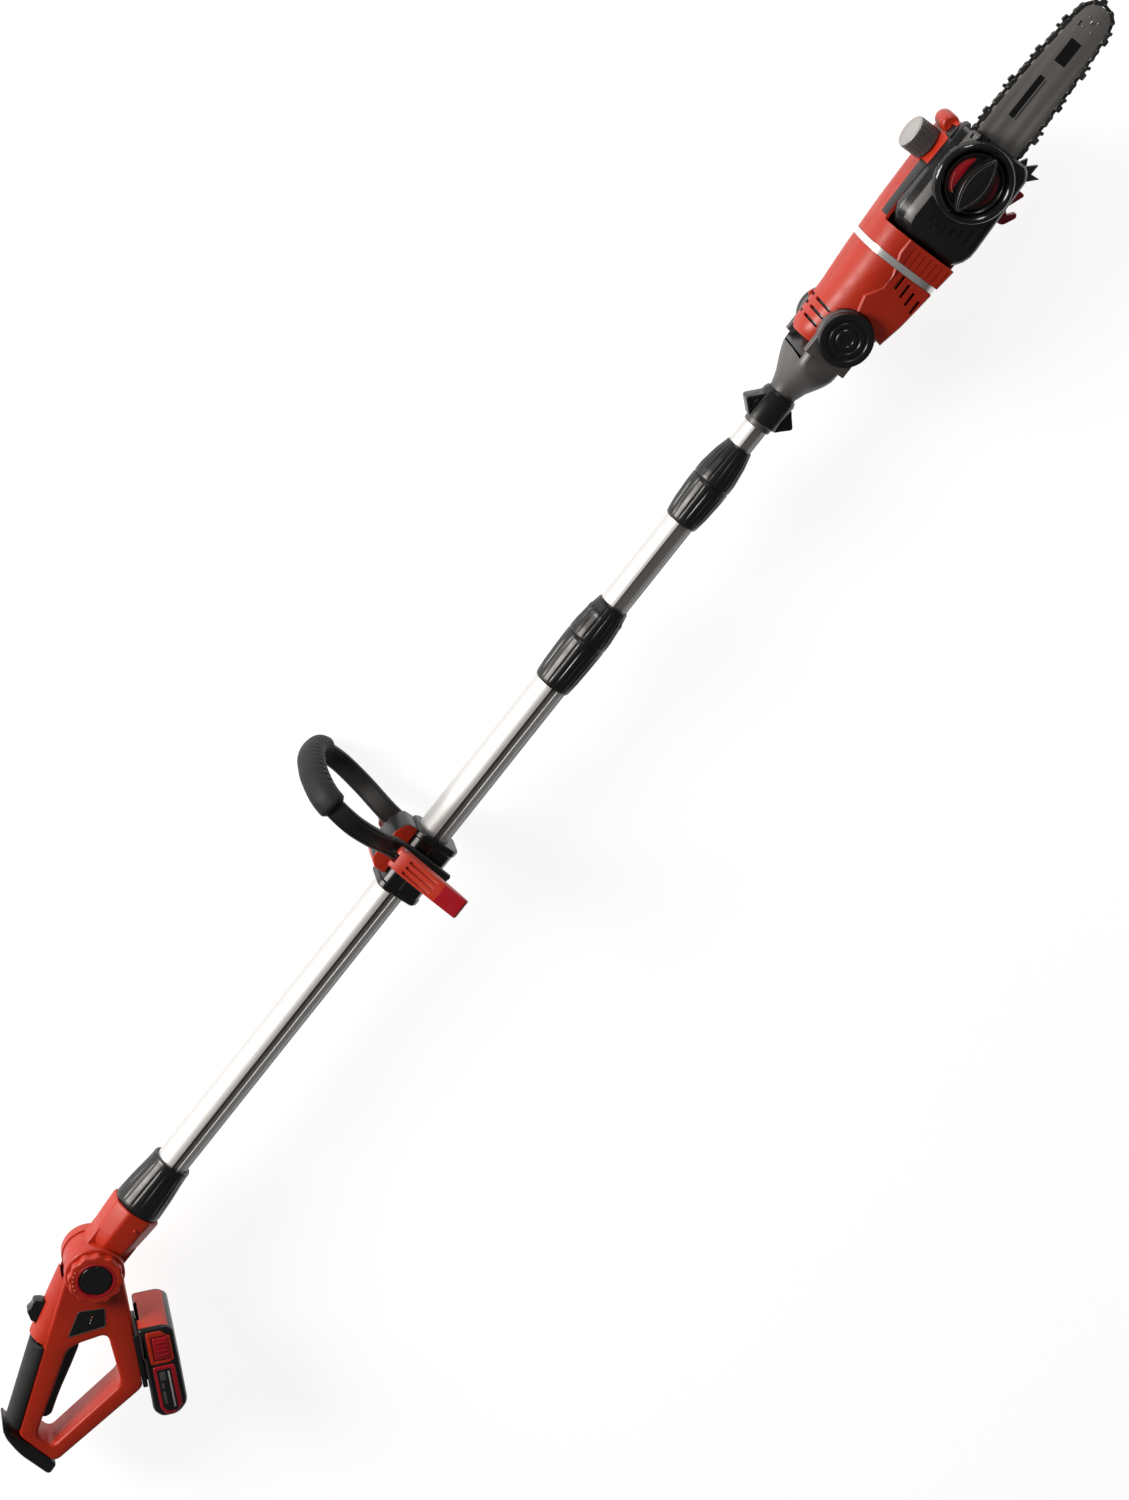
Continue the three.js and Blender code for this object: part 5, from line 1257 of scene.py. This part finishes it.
def build_cover():
    obj = new_object("cover_moulding", cover_body(), SATIN_BLACK)
    cavity = moved(cover_body(3), Matrix.Translation((0, 0, -0.5)))
    boolean(obj, [cavity])
    cuts = [rod("Z", 0, 90, 9, (KNOB_X, 0, 0), 48),
            box_mesh(1432, 1500, -31.4, 31.4, 0, 35)]
    # Long ribs at the rear of the face, running from the rounded end to the knob.
    for k in range(7):
        y = -40 + 8.4 * k
        stop = KNOB_X - math.sqrt(max(0.0, 45 ** 2 - y ** 2)) - 2
        cuts.append(slit(1330 + abs(y + 8) * 0.18, y - 1.4, max(stop, 1356), y, 1.6, 42.9, 60))
    for k in range(3):
        cuts.append(slit(1444 - 1.2 * k, 12 + 8 * k, 1470, 12 + 8 * k, 1.6, 38, 60))
    boolean(obj, cuts)
    finish_piece(obj, "head", ["sprocket_cover"], smooth=28)
    # The wide bevel along the +Y edge, facing the key light, is painted a lighter grey as a painted
    # highlight.
    paint_bevel_highlight = lambda spot, normal: 22 < spot.y < 33 and normal.y > 0.5 and normal.z > 0.5
    paint(obj, COVER_BEVEL_HIGHLIGHT, paint_bevel_highlight)

    # Dark trim that carries the cover's colour round the +Y shoulder of the housing.
    trim = boolean(new_object("flank_trim", head_loft(-0.3, 1337, 1398), SATIN_BLACK),
                   [head_loft(0.9, 1330, 1420)])
    boolean(trim, [box_mesh(1300, 1420, 26, 60, 9, 60)], "INTERSECT")
    boolean(trim, [box_mesh(1300, 1500, -90, 39.5, COVER_FLOOR - 0.2, 90)])
    finish_piece(trim, "head", slot="black_plastic", smooth=28)

    # Latch block between the oil filler and the bar.
    block = plate(rounded([(1428, 33.5), (1440, 33.5), (1442, 40.4), (1430, 41.4)], 1.2, 3), 10, 30,
                  bevel=1)
    piece("filler_latch", block, BLACK, "head", slot="black_plastic")

    base = COVER_FACE + 0.3
    ring = [(base, 30.6), (base, 39.6), (base + 0.8, 40.5), (base + 4.2, 40.5), (base + 6.6, 39.4),
            (base + 8.6, 37.2),
            (base + 9, 35.6), (base + 8.2, 34), (base + 5, 31.6), (base + 2, 30.6)]
    def knurl(turn, distance, radius):
        return 1 - 0.012 * max(0.0, math.cos(turn * 36)) ** 2 * (radius > 38) * (distance < base + 6)
    piece("knob_outer_ring", turned("Z", ring, (KNOB_X, 0, 0), 216, knurl), GLOSS_BLACK, "tension_ring",
          ["tension_ring"], smooth=40)

    dish = [(39, 4.4), (39, 8.5), (base, 8.5), (base, 30), (base + 4.2, 30), (base + 5.6, 29.2),
            (base + 5.9, 28.2),
            (base + 4.6, 26.6), (base + 2.8, 25.4), (base + 2.6, 4.4)]
    obj = new_object("knob_dish", turned("Z", dish, (KNOB_X, 0, 0), 144), SATIN_BLACK)
    lens = [(-32, 0)] + [(-32 + 64 * k / 24, 12.6 * math.sin(math.pi * k / 24) ** 0.9) for k in range(
        1, 24)] + [(32, 0)]
    lens += [(-x, -y) for x, y in lens[1:-1]]
    handle = moved(plate(lens, base + 1, base + 13.6, bevel=1.6, steps=4),
                   Matrix.Translation((KNOB_X, 0, 0)))
    ring_room = turned("Z", [(0, 30.1), (0, 60), (90, 60), (90, 30.1)], (KNOB_X, 0, 0), 96)
    boolean(obj, [handle], "UNION")
    boolean(obj, [ring_room, rod("Z", 0, base + 6, 4.4, (KNOB_X, 0, 0), 32)])
    finish_piece(obj, "cover_knob", ["cover_knob"], smooth=35)
    outline = [(x * 0.9, y * 0.78) for x, y in lens]
    inner = [(x * 0.875, y * 0.7) for x, y in lens]
    # A grey ring on the grip's rounded top edge, over black plastic: a painted highlight.
    fillet_highlight = moved(plate(outline, base + 13, base + 13.9, [inner], bevel=0.15),
                   Matrix.Translation((KNOB_X, 0, 0)))
    piece("knob_grip_highlight_line", fillet_highlight, GREY, "cover_knob", slot="black_plastic")
    for sign, word in ((1, "upper"), (-1, "lower")):
        rings = []
        for k in range(25):
            turn = math.radians(32 + 116 * k / 24)
            outer = 24.4
            inner = outer - 10.5 * math.sin(math.pi * (k + 0.6) / 25.2) ** 0.7
            rise = 1.4 * math.sin(math.pi * (k + 0.6) / 25.2) ** 0.5
            ring = []
            for share, lift in ((0, 0), (0, 0.7), (0.08, 1), (0.5, 1.15), (0.92, 1), (1, 0.7), (1, 0)):
                radius = inner + (outer - inner) * share
                ring.append((KNOB_X + radius * math.cos(turn), sign * radius * math.sin(turn),
                             base + 2.2 + rise * lift))
            rings.append(ring)
        # The lower crescent takes a darkened ruby as painted shade; the upper keeps the ruby colour.
        piece(f"knob_crescent_{word}", loft(rings), GLOW_RED if sign > 0 else RUBY_SHADE, "cover_knob",
              slot="red_plastic", smooth=40)
        # A thin line on each crescent: the upper one pale as a painted highlight, the lower one deep red as
        # painted shade.
        rings = []
        for k in range(21):
            turn = math.radians(96 + 52 * k / 20) if sign > 0 else math.radians(60 + 60 * k / 20)
            rings.append([(KNOB_X + (22 + dx) * math.cos(turn), sign * (22 + dx) * math.sin(turn),
                           base + 3.3 + dz)
                          for dx, dz in ((-0.4, 0), (-0.4, 0.8), (0.4, 0.8), (0.4, 0))])
        piece(f"knob_crescent_{word}_line", loft(rings), LIT if sign > 0 else DEEP_RED, "cover_knob",
              slot="red_plastic")


def build_head_fittings():
    def cap_ribs(turn, distance, radius):
        return 1 - 0.035 * max(0.0, math.cos(turn * 20)) ** 3 * (45 < distance < 62)
    rows = [(42.6, 0.01), (42.6, 16), (43.4, 16.7), (44.6, 17), (45.4, 17), (48, 17), (60, 17), (61.8, 17),
            (63.6, 16.6), (64.7, 15.6),
            (65, 14.4), (64.4, 13.4), (64.2, 5), (64.2, 0.01)]
    obj = new_object("filler_cap", turned("Y", rows, (1412, 0, 0), 200, cap_ribs, closed=False), GREY)
    plug = turned("Y", [(30, 9.6), (30.6, 10), (44, 10)], (1412, 0, 0), 48, closed=False)
    boolean(obj, [plug], "UNION")
    finish_piece(obj, "oil_cap", ["oil_cap"], smooth=35)
    # The cap's +Y end, facing the key light, is painted pale grey as a painted highlight.
    paint(obj, PALE_GREY_AND_HIGHLIGHT, lambda spot, normal: spot.y > 61 and normal.y > 0.5)

    hook = [(1392, -44), (1394, -66), (1408, -73), (1412, -70), (1404, -63), (1410, -58), (1430, -66),
            (1430, -44)]
    obj = new_object("hook_moulding", plate(rounded(hook, [1, 4, 3, 2, 3, 3, 4, 1], 5), 4, 12, bevel=1.3,
                                            steps=3), DEEP_RED)
    boolean(obj, [head_loft(-0.3)])
    finish_piece(obj, "head", ["branch_hook"], smooth=35)
    teeth = [(1446, -33), (1459, -41), (1452, -45), (1460, -54), (1449, -54), (1450, -64), (1441, -55),
             (1436, -50), (1436, -33)]
    obj = new_object("bumper_plate", plate(rounded(teeth, 0.8, 3), 14, 17.5, bevel=0.5), CHAIN_STEEL)
    boolean(obj, [head_loft(-0.3)])
    finish_piece(obj, "head", ["bumper_spike"], smooth=30)


# ------------------------------------------------------------------ guide bar and chain

BAR_Z, BAR_TAIL, BAR_TIP, BAR_HALF, NOSE_R = 30, 1396, 1610, 24.4, 17.2
NOSE_X = BAR_TIP - NOSE_R
TANGENT = math.radians(82)
SPROCKET_X, SPROCKET_BACK = 1374, 18.4


def bezier(a, b, c, count):
    return [tuple(Vector(a) * (1 - t) ** 2 + Vector(b) * 2 * t * (1 - t) + Vector(c) * t * t) for t in
            [k / count for k in range(count)]]


def bar_side(offset):
    """The upper edge of the bar, from its straight part to its nose, a distance outside its edge."""
    half, radius = BAR_HALF + offset, NOSE_R + offset
    nose = (NOSE_X + radius * math.cos(TANGENT), radius * math.sin(TANGENT))
    points = [(BAR_TAIL + 30, half), *bezier((1470, half), (1520, half), nose, 24)]
    points += [(NOSE_X + radius * math.cos(t),
                radius * math.sin(t)) for t in [TANGENT * (1 - k / 14) for k in range(15)]]
    return points


def track(offset):
    """The closed path of the chain: around the nose of the bar and around the drive sprocket."""
    back = SPROCKET_BACK + offset
    upper = bar_side(offset)
    lower = [(x, -y) for x, y in reversed(upper[:-1])]
    rear = [(SPROCKET_X + back * math.cos(t), back * math.sin(t)) for t in
            [math.radians(270 - 180 * k / 30) for k in range(31)]]
    return [Vector(p) for p in upper + lower + rear]


def build_bar():
    upper = bar_side(0)
    outline = [(BAR_TAIL, 12), *upper, *[(x, -y) for x, y in reversed(upper[:-1])], (BAR_TAIL, -12)]
    slot = []
    for cx, base in ((KNOB_X + 14, -90), (KNOB_X - 6, 90)):
        slot += [(cx + 4.6 * math.cos(math.radians(base + a)), 4.6 * math.sin(math.radians(base + a)))
                 for a in range(0, 181, 15)]
    holes = [slot] + [circle(x, y, 2.2, 24) for x, y in ((1434, 15), (1434, -15))]
    obj = new_object("bar_plate", plate(outline, BAR_Z - 1.9, BAR_Z + 1.9, holes, bevel=0.35, steps=2),
                     BAR_STEEL)
    ring = [(BAR_Z - 0.9, 3.2), (BAR_Z - 0.9, 30), (BAR_Z + 0.9, 30), (BAR_Z + 0.9, 3.2)]
    nose_room = new_object("nose_room", turned("Z", ring, (NOSE_X, 0, 0), 64), BAR_STEEL)
    boolean(nose_room, [box_mesh(NOSE_X - 14, 1700, -40, 40, 0, 60)], "INTERSECT")
    boolean(obj, [drawn_copy(nose_room)])
    bpy.data.objects.remove(nose_room)
    finish_piece(obj, "bar", ["guide_bar"], smooth=25)
    for i, (r, turn) in enumerate([(0, 0)] + [(7.5, math.radians(45 + 90 * k)) for k in range(4)]):
        size = 2.0 if i == 0 else 1.2
        spot = (NOSE_X + r * math.cos(turn) - (2 if i else 0), r * math.sin(turn), 0)
        rivet = turned("Z", [(BAR_Z - 2.25, 0.01), (BAR_Z - 2.2, size * 0.8), (BAR_Z - 1.85, size),
                             (BAR_Z - 0.95, size),
                             (BAR_Z - 0.95, 0.01)], spot, 24, closed=False)
        piece(f"bar_rivet_lower_{i}", rivet, STEEL, "bar", slot="bar_steel")
        rivet = turned("Z", [(BAR_Z + 0.95, 0.01), (BAR_Z + 0.95, size), (BAR_Z + 1.85, size),
                             (BAR_Z + 2.2, size * 0.8),
                             (BAR_Z + 2.25, 0.01)], spot, 24, closed=False)
        piece(f"bar_rivet_upper_{i}", rivet, STEEL, "bar", slot="bar_steel")
    # Plain printed blocks: a long stripe, a fine rule and a solid badge, with no lettering.
    top = BAR_Z + 1.9
    prints = (("stripe", 1480, 1527, 3, 9.4), ("rule", 1480, 1526, 0.2, 1.2),
              ("badge", 1545, 1571, -5.5, 7.5),
              ("mark", 1583, 1589, 9.5, 11))
    for name, x0, x1, y0, y1 in prints:
        patch = plate(rounded(rect(x0, y0, x1, y1), 0.7, 3), top - 0.3, top + 0.06, bevel=0.03, steps=1)
        piece("bar_print_" + name, patch, BLACK, "bar", slot="bar_steel")
    star = []
    for i in range(9):
        for share, radius in ((0, 11), (0.34, 11), (0.46, 13.4), (0.84, 13.4)):
            turn = TAU * (i + share) / 9
            star.append((NOSE_X + radius * math.cos(turn), radius * math.sin(turn)))
    wheel = plate(star, BAR_Z - 0.6, BAR_Z + 0.6, [circle(NOSE_X, 0, 3.5)], bevel=0.12, steps=1)
    piece("nose_wheel", wheel, STEEL, "nose_sprocket", ["nose_sprocket"])


LINK = 9.3


def build_chain():
    """Drive links in the bar's groove, with side plates, rivets and alternating cutters."""
    path = track(0)
    reach = [0]
    closed = path + path[:1]
    for p, q in zip(closed, closed[1:]):
        reach.append(reach[-1] + (q - p).length)
    total = reach[-1]
    count = round(total / LINK / 4) * 4

    def at(distance):
        distance %= total
        j = max(k for k in range(len(path)) if reach[k] <= distance)
        share = (distance - reach[j]) / (reach[j + 1] - reach[j])
        point = closed[j].lerp(closed[j + 1], share)
        return point

    def link(outline, start, end, low, high, bevel):
        a, b = at(start), at(end)
        along = (b - a).normalized()
        out = Vector((-along.y, along.x))
        shape = []
        length = (b - a).length
        for share, lift in outline:
            spot = a + along * share * length + out * lift
            shape.append((spot.x, spot.y))
        return plate(rounded(shape, 0.5, 2), low, high, bevel=bevel, steps=1)

    plate_outline = [(-0.22, 0.6), (-0.22, 4.4), (0.1, 5.2), (0.34, 4.6), (0.66, 4.6), (0.9, 5.2),
                     (1.22, 4.4), (1.22, 0.6)]
    drive = [(-0.3, 1.1), (-0.3, 4.2), (1.3, 4.2), (1.3, 1.1), (0.85, 0.85), (0.5, 0.75), (0.15, 0.85)]
    cutter = [(-0.22, 0.6), (-0.3, 4.4), (-0.34, 7.2), (0.02, 7.5), (0.12, 5.0), (0.45, 4.6), (0.55, 7.8),
              (1.25, 7.2),
              (1.3, 4.4), (1.22, 0.6)]
    pitch = total / count
    parts = []
    z = BAR_Z
    for k in range(count):
        start, end = k * pitch, (k + 1) * pitch
        side = 1 if (k // 4) % 2 else -1
        if k % 2:
            parts.append(link(drive, start, end, z - 0.62, z + 0.62, 0.1))
            continue
        is_cutter = k % 4 == 0
        for sign in (1, -1):
            outline = cutter if is_cutter and sign == side else plate_outline
            low, high = sorted((z + sign * 0.75, z + sign * 2.0))
            parts.append(link(outline, start, end, low, high, 0.16))
            if outline is cutter:
                roof = [(0.58, 6.4), (0.58, 7.8), (1.25, 7.2), (1.25, 6.0)]
                low, high = sorted((z - sign * 0.9, z + sign * 2.3))
                parts.append(link(roof, start, end, low, high, 0.12))
    for k in range(count):
        spot = at(k * pitch)
        ahead = at(k * pitch + 1)
        along = (ahead - spot).normalized()
        spot = spot + Vector((-along.y, along.x)) * 2.6
        parts.append(turned("Z", [(z - 2.3, 0.01), (z - 2.25, 0.9), (z - 1.9, 1.25), (z + 1.9, 1.25),
                                  (z + 2.25, 0.9), (z + 2.3, 0.01)],
                            (spot.x, spot.y, 0), 10, closed=False))
    piece("chain_links", merged(*parts), CHAIN_STEEL, "bar", ["saw_chain"], smooth=30)


build_camera()
build_stage()
dress_cad_nodes()
build_tubes()
build_locks()
build_socket()
build_handle()
build_battery()
build_loop()
build_neck()
build_head()
build_cover()
build_head_fittings()
build_bar()
build_chain()
